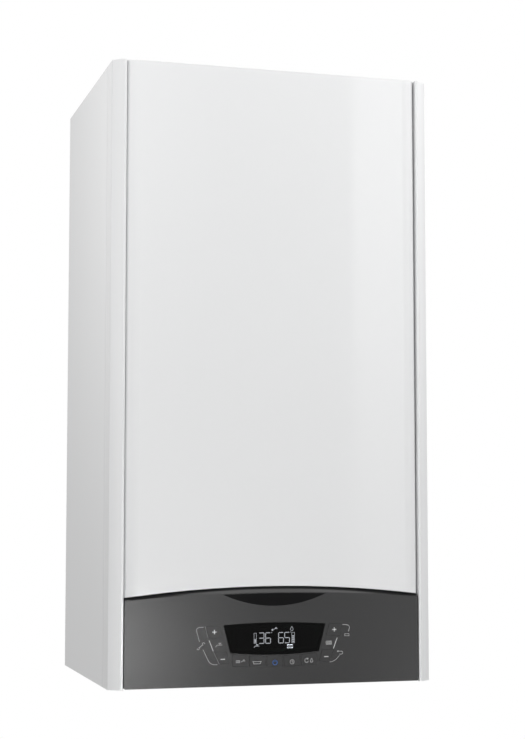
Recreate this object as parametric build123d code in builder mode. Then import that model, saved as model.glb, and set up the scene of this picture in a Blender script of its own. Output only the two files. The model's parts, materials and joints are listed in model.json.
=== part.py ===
"""Wall-hung condensing combi boiler.

The frame has +X to the right seen from the front, +Z up, and the room on the -Y side.
The origin is on the wall, midway between the two bolts that carry the boiler.
Places inside the casing are given as (across, depth, height): across is X, depth is the
distance in front of the wall, and height is measured up from the casing's lower edge.
"""

import math
import os

from build123d import *

# ---------------------------------------------------------------- casing
CASE_WIDTH = 400.0
CASE_HEIGHT = 745.0
CASE_DEPTH = 319.0
COVER_DEPTH = 38.0        # how far the removable cover reaches back from the front
BOLT_DROP = 55.0          # from the casing's top down to the wall bolts
SHEET = 1.0               # chassis sheet steel
FOLD = 14.0               # width of the folded flanges
SEAM_GAP = 0.8            # visible joint between the cover and the side panels

# ---------------------------------------------------------------- wall bracket
BOLT_SPACING = 240.0
BOLT_HOLE_RADIUS = 4.5
BRACKET_LENGTH = 300.0
BRACKET_SHEET = 3.0
BRACKET_BELOW = 20.0      # bracket edge below the bolt line
BRACKET_ABOVE = 20.0      # shelf of the bracket above the bolt line
BRACKET_REACH = 11.0      # how far the hook stands off the wall
BRACKET_LIP = 12.0        # height of the hook's lip above its shelf
RAIL_SHEET = 3.0
RAIL_SEAT = 0.3           # rest of the hanging rail on the bracket
RAIL_WELD = 17.0          # part of the rail that lies on the back panel
BRACKET_WINDOW_GAP = 6.0

# ---------------------------------------------------------------- chassis
BOTTOM_PLATE_HEIGHT = 50.0
BULKHEAD_GAP = 11.0       # from the wall behind the control panel's recess to the control box
SILL_HEIGHT = 126.0       # shelf over the control panel's recess
STUD_RADIUS = 3.0
STUD_LENGTH = 12.0
STUD_INSET = 8.0          # from the casing's side to the stud's centre
STUD_RISE = 34.0          # lower studs above the shelf
STUD_DROP = 45.0          # upper studs below the casing's top
SCREW_HEAD_RADIUS = 4.0
SCREW_HEAD_HEIGHT = 2.2
SCREW_EDGE = 12.0

# ---------------------------------------------------------------- flue
FLUE_DEPTH = 125.0
COLLAR_HEIGHT = 36.0
COLLAR_OUTER_RADIUS = 50.0
COLLAR_BORE_RADIUS = 30.2
COLLAR_WALL = 1.5
COLLAR_FLANGE_RADIUS = 62.0
COLLAR_FLANGE = 2.0
TEST_PORT_RADIUS = 4.0    # capped sampling points in front of the collar
TEST_PORT_HEIGHT = 9.0
TEST_PORT_ANGLE = 35.0
DUCT_WALL = 1.5
DUCT_OVERLAP = 0.8        # duct bore over the collar bore
AIR_HOLE_RADIUS = 46.0
AIR_SLOT_LENGTH = 29.0

# ---------------------------------------------------------------- expansion vessel
VESSEL_RADIUS = 148.0
VESSEL_THICKNESS = 72.0
VESSEL_DROP = 210.0       # from the wall bolts down to the vessel's axis
VESSEL_EDGE = 20.0
VESSEL_RIM = 4.0
VESSEL_WALL = 1.5
VESSEL_STUD = 12.0
SEAT_GAP = 0.3

# ---------------------------------------------------------------- heat exchanger
EXCHANGER_RADIUS = 115.0
EXCHANGER_HEIGHT = 490.0
EXCHANGER_BACK = 88.0
EXCHANGER_ROOM = 69.0     # from the exchanger's front to the casing's front
EXCHANGER_WALL = 4.0
BRACKET_PLATE_HALF = 60.0
COIL_OUTER_RADIUS = 102.0
COIL_INNER_RADIUS = 54.0
COIL_TURNS = 6
COIL_ROOM = 18.0          # length of the exchanger that its coil leaves free
COIL_GAP = 3.0
COIL_WALL = 1.2
BURNER_RADIUS = 35.0
BURNER_LENGTH = 92.0
BURNER_WALL = 1.5
DOOR_PLATE = 6.0
DOOR_MARGIN = 2.0         # door edge inside the shell's outer edge
HOOD_WIDTH = 92.0
HOOD_HEIGHT = 80.0
HOOD_DEPTH = 37.0
HOOD_ROUND = 12.0
NUT_COUNT = 8
NUT_RADIUS = 5.0
NUT_HEIGHT = 5.0
ELECTRODE_OFFSET = 68.0
ELECTRODE_SPACING = 22.0
ELECTRODE_RADIUS = 5.0
ELECTRODE_FRONT = 30.0
ELECTRODE_TIP = 14.0
ELECTRODE_WIRE = 1.4

# ---------------------------------------------------------------- fan and gas train
FAN_ACROSS = 104.0
FAN_DROP = 165.0          # from the exchanger's axis down to the fan's
FAN_ROOM = 119.0          # from the fan's back to the casing's front
FAN_THICKNESS = 45.0
FAN_WALL = 2.0
SCROLL_START = 45.0       # scroll radius where the spiral begins
SCROLL_GROWTH = 14.0      # growth of the scroll radius over three quarters of a turn
OUTLET_WIDTH = 40.0
OUTLET_RISE = 60.0
IMPELLER_RADIUS = 40.0
IMPELLER_EYE = 22.0
IMPELLER_WIDTH = 26.0
IMPELLER_PLATE = 2.0
BLADE_COUNT = 14
BLADE_SHEET = 1.6
BLADE_LEAN = 35.0
SHAFT_RADIUS = 3.0
RUNNING_GAP = 0.06        # radial clearance of shafts and pins
FAN_MOTOR_RADIUS = 34.0
FAN_MOTOR_LENGTH = 40.0
VENTURI_LENGTH = 50.0
VENTURI_MOUTH = 26.0
VENTURI_WAIST = 17.0
VENTURI_WALL = 4.0
GAS_NIPPLE_RADIUS = 9.0
MIX_DUCT_RADIUS = 18.0
MIX_DUCT_WALL = 2.0
MIX_DUCT_BEND = 28.0
SILENCER_SETBACK = 8.0    # silencer's back in front of the exchanger's back
SILENCER_WALL = 2.0
SILENCER_GAP = 12.0       # neck between the silencer and the venturi
SILENCER_RISE = 520.0
SILENCER_ROUND = 10.0
GAS_VALVE_WIDTH = 54.0
GAS_VALVE_HEIGHT = 46.0
GAS_VALVE_DEPTH = 50.0
GAS_VALVE_COIL = 13.0
GAS_VALVE_CAP = 26.0
TRAP_ACROSS = -120.0
TRAP_DEPTH = 185.0
TRAP_BOTTOM = 215.0
TRAP_HEIGHT = 85.0
TRAP_RADIUS = 27.0
HOSE_RADIUS = 8.0
HOSE_WALL = 1.6
DRAIN_ACROSS = -165.0
DRAIN_DEPTH = 150.0
DRAIN_END = 20.0

# ---------------------------------------------------------------- water side
TAIL_DEPTH = 60.0
TAIL_END = 5.0            # lower end of the pipe tails above the casing's lower edge
TAIL_PITCH = 65.0
HEATING_TAIL_RADIUS = 9.0
WATER_TAIL_RADIUS = 7.5
PIPE_WALL = 1.0
PIPE_BEND = 20.0
UNION_TOP = 64.0
UNION_HEIGHT = 11.0
UNION_RADIUS = 15.0
PLATE_HOLE_GAP = 1.5
GROMMET = 8.0
GROUP_HEIGHT = 94.0       # axis of the brass groups
GROUP_RADIUS = 15.0
GROUP_NECK = 12.0
GROUP_END = 8.0           # how far a group runs past its last pipe
PORT_RADIUS = 10.0
PORT_ACROSS = 80.0
PORT_RISE = 36.0
PLATES_BACK = 110.0
PLATE_COUNT = 10
PLATE_PITCH = 4.0
PLATE_SHEET = 2.4
PLATES_WIDTH = 188.0
PLATES_HEIGHT = 70.0
PLATES_ROUND = 12.0
PUMP_ACROSS = 140.0
PUMP_HEIGHT = 166.0
PUMP_BACK = 72.0
PUMP_RADIUS = 41.0
PUMP_BODY_LENGTH = 36.0
PUMP_WALL = 6.0
PUMP_MOTOR_RADIUS = 37.0
PUMP_MOTOR_LENGTH = 70.0
PUMP_BOX = 20.0
PUMP_ROTOR_RADIUS = 20.0
PUMP_IMPELLER_RADIUS = 30.0
PUMP_IMPELLER_WIDTH = 12.0
PUMP_NECK_DEPTH = 90.0
PUMP_SHAFT_RADIUS = 4.0
VENT_RADIUS = 11.0
VENT_HEIGHT = 34.0
DIVERTER_CHAMBER_RADIUS = 18.0
DIVERTER_TOP = 122.0
DIVERTER_FLANGE = 46.0
DIVERTER_FLANGE_SHEET = 4.0
STEM_RADIUS = 4.0
STEM_SINK = 14.0          # stem length inside the valve at rest
STEM_RISE = 14.0          # stem length above the valve at rest
STEM_TRAVEL = 5.0
STEM_COLLAR_RADIUS = 9.0
STEM_COLLAR = 3.0
MOTOR_LEG = 4.0
MOTOR_GAP = 20.0          # open yoke between the valve and its motor
MOTOR_HEIGHT = 42.0
RELIEF_ACROSS = -114.0
RELIEF_HEIGHT = 80.0
RELIEF_RADIUS = 9.0
RELIEF_LENGTH = 38.0
KNOB_RADIUS = 12.5
KNOB_LENGTH = 18.0
KNOB_FLUTES = 6
TAP_HEIGHT = 38.0
TAP_SADDLE = 2.5
TAP_RADIUS = 9.0
TAP_BODY_DEPTH = 16.0
TAP_LEVER = 34.0
TAP_LEVER_WIDTH = 9.0
TAP_LEVER_SHEET = 4.0

# ---------------------------------------------------------------- front cover
COVER_SHEET = 1.2
PILASTER_WIDTH = 16.5
PILASTER_SHEET = 1.5
PILASTER_CORNER = 10.0    # pilaster's outer edge behind its foremost line
PILASTER_SHOULDER = 5.5
PILASTER_CREST = 13.5     # from the casing's side to the pilaster's foremost line
PILASTER_ROUND = 2.2
GROOVE = 1.4              # shadow groove between pilaster and middle panel
FACE_SETBACK = 0.6        # middle panel behind the pilaster's foremost line
ROLL_WIDE = 35.0          # gentle part of the middle panel's rolled upright edges
ROLL_TIGHT = 4.0          # tight part, where the roll turns back
ROLL_TURN = 22.0          # angle where the two parts meet
GASKET_THICKNESS = 3.7
GASKET_WIDTH = 10.0
COVER_SEAT = 0.3
COVER_FLANGE_MARGIN = 2.0
PAD_THICKNESS = 8.0
PAD_MARGIN = 22.0
CLIP_SIZE = 12.0
CLIP_THICKNESS = 4.0
CLIP_BITE = 0.3           # clearance of a clip round its stud
STUD_HOLE_GAP = 0.6

# ---------------------------------------------------------------- control panel
PANEL_GAP = 1.1           # joint between the middle panel and the fascia
FASCIA_LOW = 0.7
FASCIA_SIDE = 105.0       # height of the fascia at its sides
FASCIA_CROWN = 116.6      # height of the fascia at its middle
BEVEL_SIDE = 2.5          # height of the bevelled crescent at its ends
BEVEL_MIDDLE = 6.4        # and at its middle
BEVEL_DEPTH = 3.5
FASCIA_SETBACK = 1.0
FASCIA_PLATE = 3.0
FASCIA_WALL = 2.5
FASCIA_RETURN = 18.0      # depth of the fascia's side walls
FASCIA_CORNER = 2.0
INLAY_HALF = 63.6
INLAY_TOP_SIDE = 108.1
INLAY_TOP_MIDDLE = 109.2
INLAY_LOW = 94.1
INLAY_DEPTH = 1.2
INLAY_GAP = 0.15
WINDOW_TOP_HALF = 63.5
WINDOW_TOP_SIDE = 72.2
WINDOW_TOP_MIDDLE = 74.6
WINDOW_LOW_HALF = 55.0
WINDOW_LOW_SIDE = 39.5
WINDOW_LOW_MIDDLE = 36.4
WINDOW_SHEET = 1.6
WINDOW_LEDGE = 3.0
DISPLAY_HALF = 50.0
DISPLAY_LOW = 44.0
DISPLAY_HIGH = 68.0
PLUS_KEY = ((68.1, 71.4), (84.6, 71.1), (81.3, 57.5), (64.2, 57.9))
MINUS_KEY = ((59.3, 41.0), (74.1, 41.0), (67.3, 27.0), (55.3, 27.4))
ROW_PITCH = 21.3
ROW_KEY_WIDTH = 19.6
ROW_TOP = 34.8
ROW_LOW = 22.4
ROW_TOP_RADIUS = 489.0
ROW_LOW_RADIUS = 879.0
KEY_GAP = 0.2
KEY_PROUD = 0.3
KEY_LIP = 0.9
KEY_LIP_SHEET = 1.2
KEY_TRAVEL = 0.8
KEY_ROUND = 1.0
SWITCH_SIZE = 6.0
SWITCH_HEIGHT = 3.9
BOARD = 1.6
KEY_BOARD_HALF = 98.0
KEY_BOARD_LOW = 14.0
KEY_BOARD_HIGH = 79.0
BOSS_RADIUS = 3.0
HINGE_SETBACK = 23.0
HINGE_HEIGHT = 18.0
PIN_LENGTH = 11.0
BOX_MARGIN = 35.0         # from the casing's side to the control box
BOX_LOW = 6.0
BOX_HIGH = 82.0
BOX_LENGTH = 62.0
BOX_SETBACK = 11.0
BOX_WALL = 2.0
VENT_SLOTS = 12
VENT_PITCH = 16.0
MAIN_BOARD_OFFSET = 24.0
BOARD_GAP = 0.2
BOARD_MARGIN = 12.0
TRANSFORMER_WIDTH = 42.0
TRANSFORMER_HEIGHT = 36.0
TRANSFORMER_RISE = 26.0
RELAY_COUNT = 4
RELAY_PITCH = 26.0
RELAY_WIDTH = 18.0
RELAY_HEIGHT = 22.0
RELAY_RISE = 15.0
CAPACITOR_COUNT = 3
CAPACITOR_PITCH = 20.0
CAPACITOR_RADIUS = 7.0
CAPACITOR_RISE = 22.0
STRIP_LENGTH = 190.0
STRIP_HEIGHT = 10.0
STRIP_RISE = 11.0
ARM_GAP = 7.0             # between the control box and a hinge arm
ARM_SHEET = 1.5
ARM_BOSS = 8.0
ARM_LOW = 32.0
ARM_HIGH = 60.0
ARM_BASE = 11.0

HALF_WIDTH = CASE_WIDTH / 2
CASE_TOP = BOLT_DROP
CASE_BOTTOM = CASE_TOP - CASE_HEIGHT
SEAM_DEPTH = CASE_DEPTH - COVER_DEPTH
INNER_HALF = HALF_WIDTH - SHEET
STUD_LOW = SILL_HEIGHT + STUD_RISE
STUD_HIGH = CASE_HEIGHT - STUD_DROP
VESSEL_HEIGHT = CASE_HEIGHT - BOLT_DROP - VESSEL_DROP
BRACKET_PLATE_LOW = EXCHANGER_HEIGHT - BRACKET_PLATE_HALF
BRACKET_PLATE_HIGH = EXCHANGER_HEIGHT + BRACKET_PLATE_HALF
EXCHANGER_LENGTH = CASE_DEPTH - EXCHANGER_ROOM - EXCHANGER_BACK
COIL_PITCH = (EXCHANGER_LENGTH - COIL_ROOM) / COIL_TURNS
FAN_HEIGHT = EXCHANGER_HEIGHT - FAN_DROP
FAN_BACK = CASE_DEPTH - FAN_ROOM
SILENCER_BACK = EXCHANGER_BACK + SILENCER_SETBACK
SILENCER_THICKNESS = FAN_BACK - VENTURI_LENGTH - SILENCER_GAP - SILENCER_BACK
PILASTER_EDGE = CASE_DEPTH - PILASTER_CORNER
PILASTER_MIDDLE = CASE_DEPTH - PILASTER_SHOULDER
HINGE_DEPTH = CASE_DEPTH - HINGE_SETBACK
BOX_HALF = HALF_WIDTH - BOX_MARGIN
BOX_FRONT = CASE_DEPTH - BOX_SETBACK
BOX_BACK = BOX_FRONT - BOX_LENGTH
BULKHEAD_DEPTH = BOX_BACK - BULKHEAD_GAP
MAIN_BOARD_DEPTH = BOX_BACK + MAIN_BOARD_OFFSET
ARM_ACROSS = BOX_HALF + ARM_GAP

os.makedirs("parts", exist_ok=True)


def save(name, part):
    """Label a finished piece and write it under its own name."""
    part.label = name
    export_step(part, f"parts/{name}.step")


def up(height):
    """Z of a height above the casing's lower edge."""
    return CASE_BOTTOM + height


def place(across, depth, height):
    """Point of the frame for a place in the casing."""
    return (across, -depth, up(height))


def at_height(height):
    """Level plane at a height above the casing's lower edge."""
    return Plane.XY.offset(up(height))


def at_depth(depth):
    """Upright plane parallel to the wall, facing the room."""
    return Plane.XZ.offset(depth)


def block(across, depth, height):
    """Block between two values each way, added to the open part."""
    middle = place(sum(across) / 2, sum(depth) / 2, sum(height) / 2)
    with Locations(middle):
        Box(abs(across[1] - across[0]), abs(depth[1] - depth[0]), abs(height[1] - height[0]))


def post(across, depth, height, radius, mode=Mode.ADD):
    """Upright round bar between two heights."""
    with Locations(place(across, depth, sum(height) / 2)):
        Cylinder(radius, abs(height[1] - height[0]), mode=mode)


def barrel(across, height, depth, radius, mode=Mode.ADD):
    """Round bar square to the wall between two depths."""
    with Locations(place(across, sum(depth) / 2, height)):
        Cylinder(radius, abs(depth[1] - depth[0]), rotation=(90, 0, 0), mode=mode)


def bar(across, depth, height, radius, mode=Mode.ADD):
    """Level round bar along the wall between two places across."""
    with Locations(place(sum(across) / 2, depth, height)):
        Cylinder(radius, abs(across[1] - across[0]), rotation=(0, 90, 0), mode=mode)


def patch(across, depth):
    """Rectangle in a level sketch between two values each way."""
    with Locations((sum(across) / 2, -sum(depth) / 2)):
        Rectangle(abs(across[1] - across[0]), abs(depth[1] - depth[0]))


def pane(across, height):
    """Rectangle in an upright sketch between two values each way."""
    with Locations((sum(across) / 2, up(sum(height) / 2))):
        Rectangle(abs(across[1] - across[0]), abs(height[1] - height[0]))


def pipe(stops, radius, wall, bend):
    """Tube through a list of places, with straight runs and round bends."""
    with BuildPart() as tube:
        with BuildLine() as route:
            FilletPolyline(*[place(*stop) for stop in stops], radius=bend)
        with BuildSketch(Plane(origin=route.line @ 0, z_dir=route.line % 0)):
            Circle(radius)
            Circle(radius - wall, mode=Mode.SUBTRACT)
        sweep(path=route.line)
    return tube.part


# ================================================================ chassis
shelf_top = BRACKET_ABOVE + BRACKET_SHEET
hook_top = shelf_top + BRACKET_LIP
rail_bottom = shelf_top + RAIL_SEAT
window_top = hook_top + BRACKET_WINDOW_GAP
window_bottom = -BRACKET_BELOW - BRACKET_WINDOW_GAP
panel_top = CASE_TOP - SHEET
rail_top = min(window_top + RAIL_WELD, panel_top)
flange_half = INNER_HALF - FOLD

with BuildPart() as back_panel:
    with BuildSketch(Plane.XZ):
        with Locations((0, (CASE_BOTTOM + panel_top) / 2)):
            Rectangle(2 * INNER_HALF, panel_top - CASE_BOTTOM)
        with Locations((0, (window_bottom + window_top) / 2)):
            Rectangle(
                BRACKET_LENGTH + 2 * BRACKET_WINDOW_GAP,
                window_top - window_bottom,
                mode=Mode.SUBTRACT,
            )
    extrude(amount=SHEET)
    # the hanging rail is welded over the window and drops into the bracket's hook
    with BuildSketch(Plane.XZ.offset(SHEET)):
        with Locations((0, (rail_bottom + rail_top) / 2)):
            Rectangle(BRACKET_LENGTH - 2 * BRACKET_WINDOW_GAP, rail_top - rail_bottom)
        with Locations((0, (window_top + rail_top) / 2)):
            Rectangle(BRACKET_LENGTH + 4 * BRACKET_WINDOW_GAP, rail_top - window_top)
    extrude(amount=RAIL_SHEET)
save("back_panel", back_panel.part)

with BuildPart() as wall_bracket:
    with BuildSketch(Plane.YZ.offset(-BRACKET_LENGTH / 2)):
        with BuildLine():
            Polyline(
                (0, -BRACKET_BELOW),
                (0, shelf_top),
                (-BRACKET_REACH + BRACKET_SHEET, shelf_top),
                (-BRACKET_REACH + BRACKET_SHEET, hook_top),
                (-BRACKET_REACH, hook_top),
                (-BRACKET_REACH, BRACKET_ABOVE),
                (-BRACKET_SHEET, BRACKET_ABOVE),
                (-BRACKET_SHEET, -BRACKET_BELOW),
                close=True,
            )
        make_face()
    extrude(amount=BRACKET_LENGTH)
    with Locations(Plane.XZ):
        with GridLocations(BOLT_SPACING, 1, 2, 1):
            Cylinder(BOLT_HOLE_RADIUS, 4 * BRACKET_SHEET, mode=Mode.SUBTRACT)
save("wall_bracket", wall_bracket.part)

for name, side in (("side_panel_left", -1), ("side_panel_right", 1)):
    with BuildPart() as side_panel:
        with BuildSketch(at_height(0)):
            patch((side * INNER_HALF, side * HALF_WIDTH), (0, SEAM_DEPTH))
        extrude(amount=CASE_HEIGHT)
        # the front and rear folds stop under the top panel
        with BuildSketch(at_height(0)):
            patch((side * flange_half, side * INNER_HALF), (SEAM_DEPTH - SHEET, SEAM_DEPTH))
            patch((side * flange_half, side * INNER_HALF), (SHEET, 2 * SHEET))
        extrude(amount=CASE_HEIGHT - SHEET)
    save(name, side_panel.part)

with BuildPart() as top_panel:
    block((-INNER_HALF, INNER_HALF), (0, SEAM_DEPTH), (CASE_HEIGHT - SHEET, CASE_HEIGHT))
    block(
        (-flange_half, flange_half),
        (SEAM_DEPTH - SHEET, SEAM_DEPTH),
        (CASE_HEIGHT - FOLD, CASE_HEIGHT - SHEET),
    )
    with Locations(place(0, FLUE_DEPTH, CASE_HEIGHT)):
        Cylinder(AIR_HOLE_RADIUS, 4 * SHEET, mode=Mode.SUBTRACT)
    screw_spots = [
        (side * (INNER_HALF - SCREW_EDGE), depth)
        for side in (-1, 1)
        for depth in (SCREW_EDGE, SEAM_DEPTH - SCREW_EDGE)
    ]
    with Locations(*[place(across, depth, CASE_HEIGHT) for across, depth in screw_spots]):
        Cylinder(SCREW_HEAD_RADIUS / 2, 4 * SHEET, mode=Mode.SUBTRACT)
save("top_panel", top_panel.part)

tail_places = [TAIL_PITCH * step for step in (-2, -1, 0, 1, 2)]
heating_flow, hot_outlet, gas_inlet, cold_inlet, heating_return = tail_places
with BuildPart() as bottom_plate:
    plate_top = BOTTOM_PLATE_HEIGHT + SHEET
    block((-INNER_HALF, INNER_HALF), (2 * SHEET, BULKHEAD_DEPTH), (BOTTOM_PLATE_HEIGHT, plate_top))
    for side in (-1, 1):
        edge = side * INNER_HALF
        block((edge - side * SHEET, edge), (FOLD + SHEET, BULKHEAD_DEPTH), (plate_top, plate_top + FOLD))
    with Locations(*[place(across, TAIL_DEPTH, BOTTOM_PLATE_HEIGHT) for across in tail_places]):
        Cylinder(HEATING_TAIL_RADIUS + PLATE_HOLE_GAP, 4 * SHEET, mode=Mode.SUBTRACT)
    with Locations(place(DRAIN_ACROSS, DRAIN_DEPTH, BOTTOM_PLATE_HEIGHT)):
        Cylinder(HOSE_RADIUS + PLATE_HOLE_GAP, 4 * SHEET, mode=Mode.SUBTRACT)
save("bottom_plate", bottom_plate.part)

with BuildPart() as chamber_sill:
    block(
        (-INNER_HALF, INNER_HALF),
        (BULKHEAD_DEPTH, BULKHEAD_DEPTH + SHEET),
        (BOTTOM_PLATE_HEIGHT, SILL_HEIGHT),
    )
    block(
        (-INNER_HALF, INNER_HALF),
        (BULKHEAD_DEPTH, SEAM_DEPTH - SHEET),
        (SILL_HEIGHT - SHEET, SILL_HEIGHT),
    )
    block(
        (-flange_half, flange_half),
        (SEAM_DEPTH - SHEET, SEAM_DEPTH),
        (SILL_HEIGHT - SHEET, SILL_HEIGHT + FOLD),
    )
save("chamber_sill", chamber_sill.part)

stud_places = [
    (side * (HALF_WIDTH - STUD_INSET), height) for side in (-1, 1) for height in (STUD_LOW, STUD_HIGH)
]

# ================================================================ flue and vessel
with BuildPart() as flue_collar:
    with Locations(place(0, FLUE_DEPTH, CASE_HEIGHT + COLLAR_FLANGE / 2)):
        Cylinder(COLLAR_FLANGE_RADIUS, COLLAR_FLANGE)
    collar_span = (CASE_HEIGHT, CASE_HEIGHT + COLLAR_HEIGHT)
    post(0, FLUE_DEPTH, collar_span, COLLAR_OUTER_RADIUS)
    post(0, FLUE_DEPTH, (CASE_HEIGHT + COLLAR_FLANGE, 2 * collar_span[1]), COLLAR_OUTER_RADIUS - COLLAR_WALL,
         mode=Mode.SUBTRACT)
    post(0, FLUE_DEPTH, collar_span, COLLAR_BORE_RADIUS + COLLAR_WALL)
    post(0, FLUE_DEPTH, (CASE_HEIGHT - COLLAR_HEIGHT, 2 * collar_span[1]), COLLAR_BORE_RADIUS,
         mode=Mode.SUBTRACT)
    # air slots between the two pipes
    slot_radius = (COLLAR_BORE_RADIUS + 2 * COLLAR_WALL + AIR_HOLE_RADIUS) / 2
    slot_width = AIR_HOLE_RADIUS - COLLAR_BORE_RADIUS - 3 * COLLAR_WALL
    with BuildSketch(at_height(CASE_HEIGHT)):
        with Locations((0, -FLUE_DEPTH)):
            with PolarLocations(slot_radius, 6):
                SlotOverall(AIR_SLOT_LENGTH, slot_width, rotation=90)
    extrude(amount=COLLAR_FLANGE, mode=Mode.SUBTRACT)
    # capped test ports at the front of the flange
    port_reach = COLLAR_FLANGE_RADIUS - TEST_PORT_RADIUS - COLLAR_FLANGE / 2
    port_turn = math.radians(TEST_PORT_ANGLE)
    for side in (-1, 1):
        port_across = side * port_reach * math.sin(port_turn)
        port_front = FLUE_DEPTH + port_reach * math.cos(port_turn)
        port_span = (CASE_HEIGHT + COLLAR_FLANGE / 2, CASE_HEIGHT + TEST_PORT_HEIGHT)
        post(port_across, port_front, port_span, TEST_PORT_RADIUS)
save("flue_collar", flue_collar.part)

with BuildPart() as flue_duct:
    duct_bore = COLLAR_BORE_RADIUS + DUCT_OVERLAP
    neck_top = EXCHANGER_HEIGHT + EXCHANGER_RADIUS + UNION_HEIGHT
    duct_span = (neck_top, CASE_HEIGHT)
    post(0, FLUE_DEPTH, duct_span, duct_bore + DUCT_WALL)
    post(0, FLUE_DEPTH, (neck_top, neck_top + 2 * UNION_HEIGHT), duct_bore + 2 * DUCT_WALL + SEAT_GAP)
    post(0, FLUE_DEPTH, duct_span, duct_bore, mode=Mode.SUBTRACT)
save("flue_duct", flue_duct.part)



vessel_middle = SHEET + SEAT_GAP + VESSEL_THICKNESS / 2
vessel_axis = Axis((0, 0, up(VESSEL_HEIGHT)), (0, 1, 0))
with BuildPart() as expansion_vessel:
    with BuildSketch(at_depth(SHEET + SEAT_GAP)):
        with Locations((0, up(VESSEL_HEIGHT))):
            Circle(VESSEL_RADIUS)
    extrude(amount=VESSEL_THICKNESS)
    fillet(expansion_vessel.edges().filter_by(GeomType.CIRCLE), VESSEL_EDGE)
    # hollow round a middle stud, revolved from its half section
    hollow_reach = VESSEL_RADIUS - VESSEL_WALL - VESSEL_STUD
    with BuildSketch(Plane.YZ) as hollow_half:
        with Locations((-vessel_middle, up(VESSEL_HEIGHT) + VESSEL_STUD + hollow_reach / 2)):
            Rectangle(VESSEL_THICKNESS - 2 * VESSEL_WALL, hollow_reach)
        fillet(hollow_half.vertices().group_by(Axis.Z)[-1], VESSEL_EDGE - VESSEL_WALL)
    revolve(axis=vessel_axis, mode=Mode.SUBTRACT)
    # rolled rim where the two halves meet
    with BuildSketch(at_depth(vessel_middle - VESSEL_RIM / 2)):
        with Locations((0, up(VESSEL_HEIGHT))):
            Circle(VESSEL_RADIUS + VESSEL_RIM)
            Circle(VESSEL_RADIUS - VESSEL_WALL / 2, mode=Mode.SUBTRACT)
    extrude(amount=VESSEL_RIM)
    # charging valve on the top edge, bored through to the hollow
    vessel_top = VESSEL_HEIGHT + VESSEL_RADIUS
    valve_depth = vessel_middle + 4 * VESSEL_RIM
    valve_tip = vessel_top + 2 * VESSEL_RIM
    post(0, valve_depth, (vessel_top - VESSEL_WALL / 2, valve_tip), SHAFT_RADIUS)
    valve_bore = (vessel_top - 2 * VESSEL_WALL, valve_tip)
    post(0, valve_depth, valve_bore, SHAFT_RADIUS / 2, Mode.SUBTRACT)
save("expansion_vessel", expansion_vessel.part)

# ================================================================ heat exchanger
exchanger_front = EXCHANGER_BACK + EXCHANGER_LENGTH
flow_port_height = EXCHANGER_HEIGHT - PIPE_BEND
return_port_across = -EXCHANGER_RADIUS / 2
port_depth = FLUE_DEPTH + SHEET
return_port_height = EXCHANGER_HEIGHT - math.sqrt(EXCHANGER_RADIUS**2 - return_port_across**2)
flow_port_across = -math.sqrt(EXCHANGER_RADIUS**2 - PIPE_BEND**2)
drain_port_across = -PIPE_BEND
drain_port_depth = (EXCHANGER_BACK + exchanger_front) / 2
drain_port_height = EXCHANGER_HEIGHT - math.sqrt(EXCHANGER_RADIUS**2 - drain_port_across**2)

with BuildPart() as exchanger_bracket:
    bracket_span = (BRACKET_PLATE_LOW, BRACKET_PLATE_HIGH)
    block((-INNER_HALF, INNER_HALF), (EXCHANGER_BACK - 1.5 * SHEET, EXCHANGER_BACK), bracket_span)
    for side in (-1, 1):
        edge = side * INNER_HALF
        block((edge - side * 1.5 * SHEET, edge), (EXCHANGER_BACK, EXCHANGER_BACK + FOLD), bracket_span)
    with BuildSketch(at_depth(EXCHANGER_BACK)):
        with Locations((0, up(EXCHANGER_HEIGHT))):
            with GridLocations(2 * (EXCHANGER_RADIUS + FOLD + STUD_INSET), 1, 2, 1):
                SlotOverall(4 * FOLD, FOLD, rotation=90)
    extrude(amount=-2 * SHEET, mode=Mode.SUBTRACT)
save("exchanger_bracket", exchanger_bracket.part)

with BuildPart() as exchanger_shell:
    shell_span = (EXCHANGER_BACK, exchanger_front)
    barrel(0, EXCHANGER_HEIGHT, shell_span, EXCHANGER_RADIUS)
    fillet(exchanger_shell.part.faces().sort_by(Axis.Y)[-1].edges(), 2 * EXCHANGER_WALL)
    # stiffening ribs round the shell
    for share in (0.25, 0.5, 0.75):
        rib = EXCHANGER_BACK + share * EXCHANGER_LENGTH
        barrel(0, EXCHANGER_HEIGHT, (rib - 2 * SHEET, rib + 2 * SHEET), EXCHANGER_RADIUS + 2 * SHEET)
    neck_outer = duct_bore + DUCT_WALL
    post(0, FLUE_DEPTH, (EXCHANGER_HEIGHT, neck_top), neck_outer)
    post(
        return_port_across,
        port_depth,
        (return_port_height - UNION_HEIGHT, EXCHANGER_HEIGHT),
        GROUP_NECK,
    )
    bar((flow_port_across - UNION_HEIGHT, 0), port_depth, flow_port_height, GROUP_NECK)
    post(
        drain_port_across,
        drain_port_depth,
        (drain_port_height - UNION_HEIGHT, EXCHANGER_HEIGHT),
        HOSE_RADIUS + HOSE_WALL,
    )
    barrel(
        0,
        EXCHANGER_HEIGHT,
        (EXCHANGER_BACK + EXCHANGER_WALL, exchanger_front),
        EXCHANGER_RADIUS - EXCHANGER_WALL,
        mode=Mode.SUBTRACT,
    )
    post(0, FLUE_DEPTH, (EXCHANGER_HEIGHT, neck_top), duct_bore, mode=Mode.SUBTRACT)
save("exchanger_shell", exchanger_shell.part)

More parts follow.
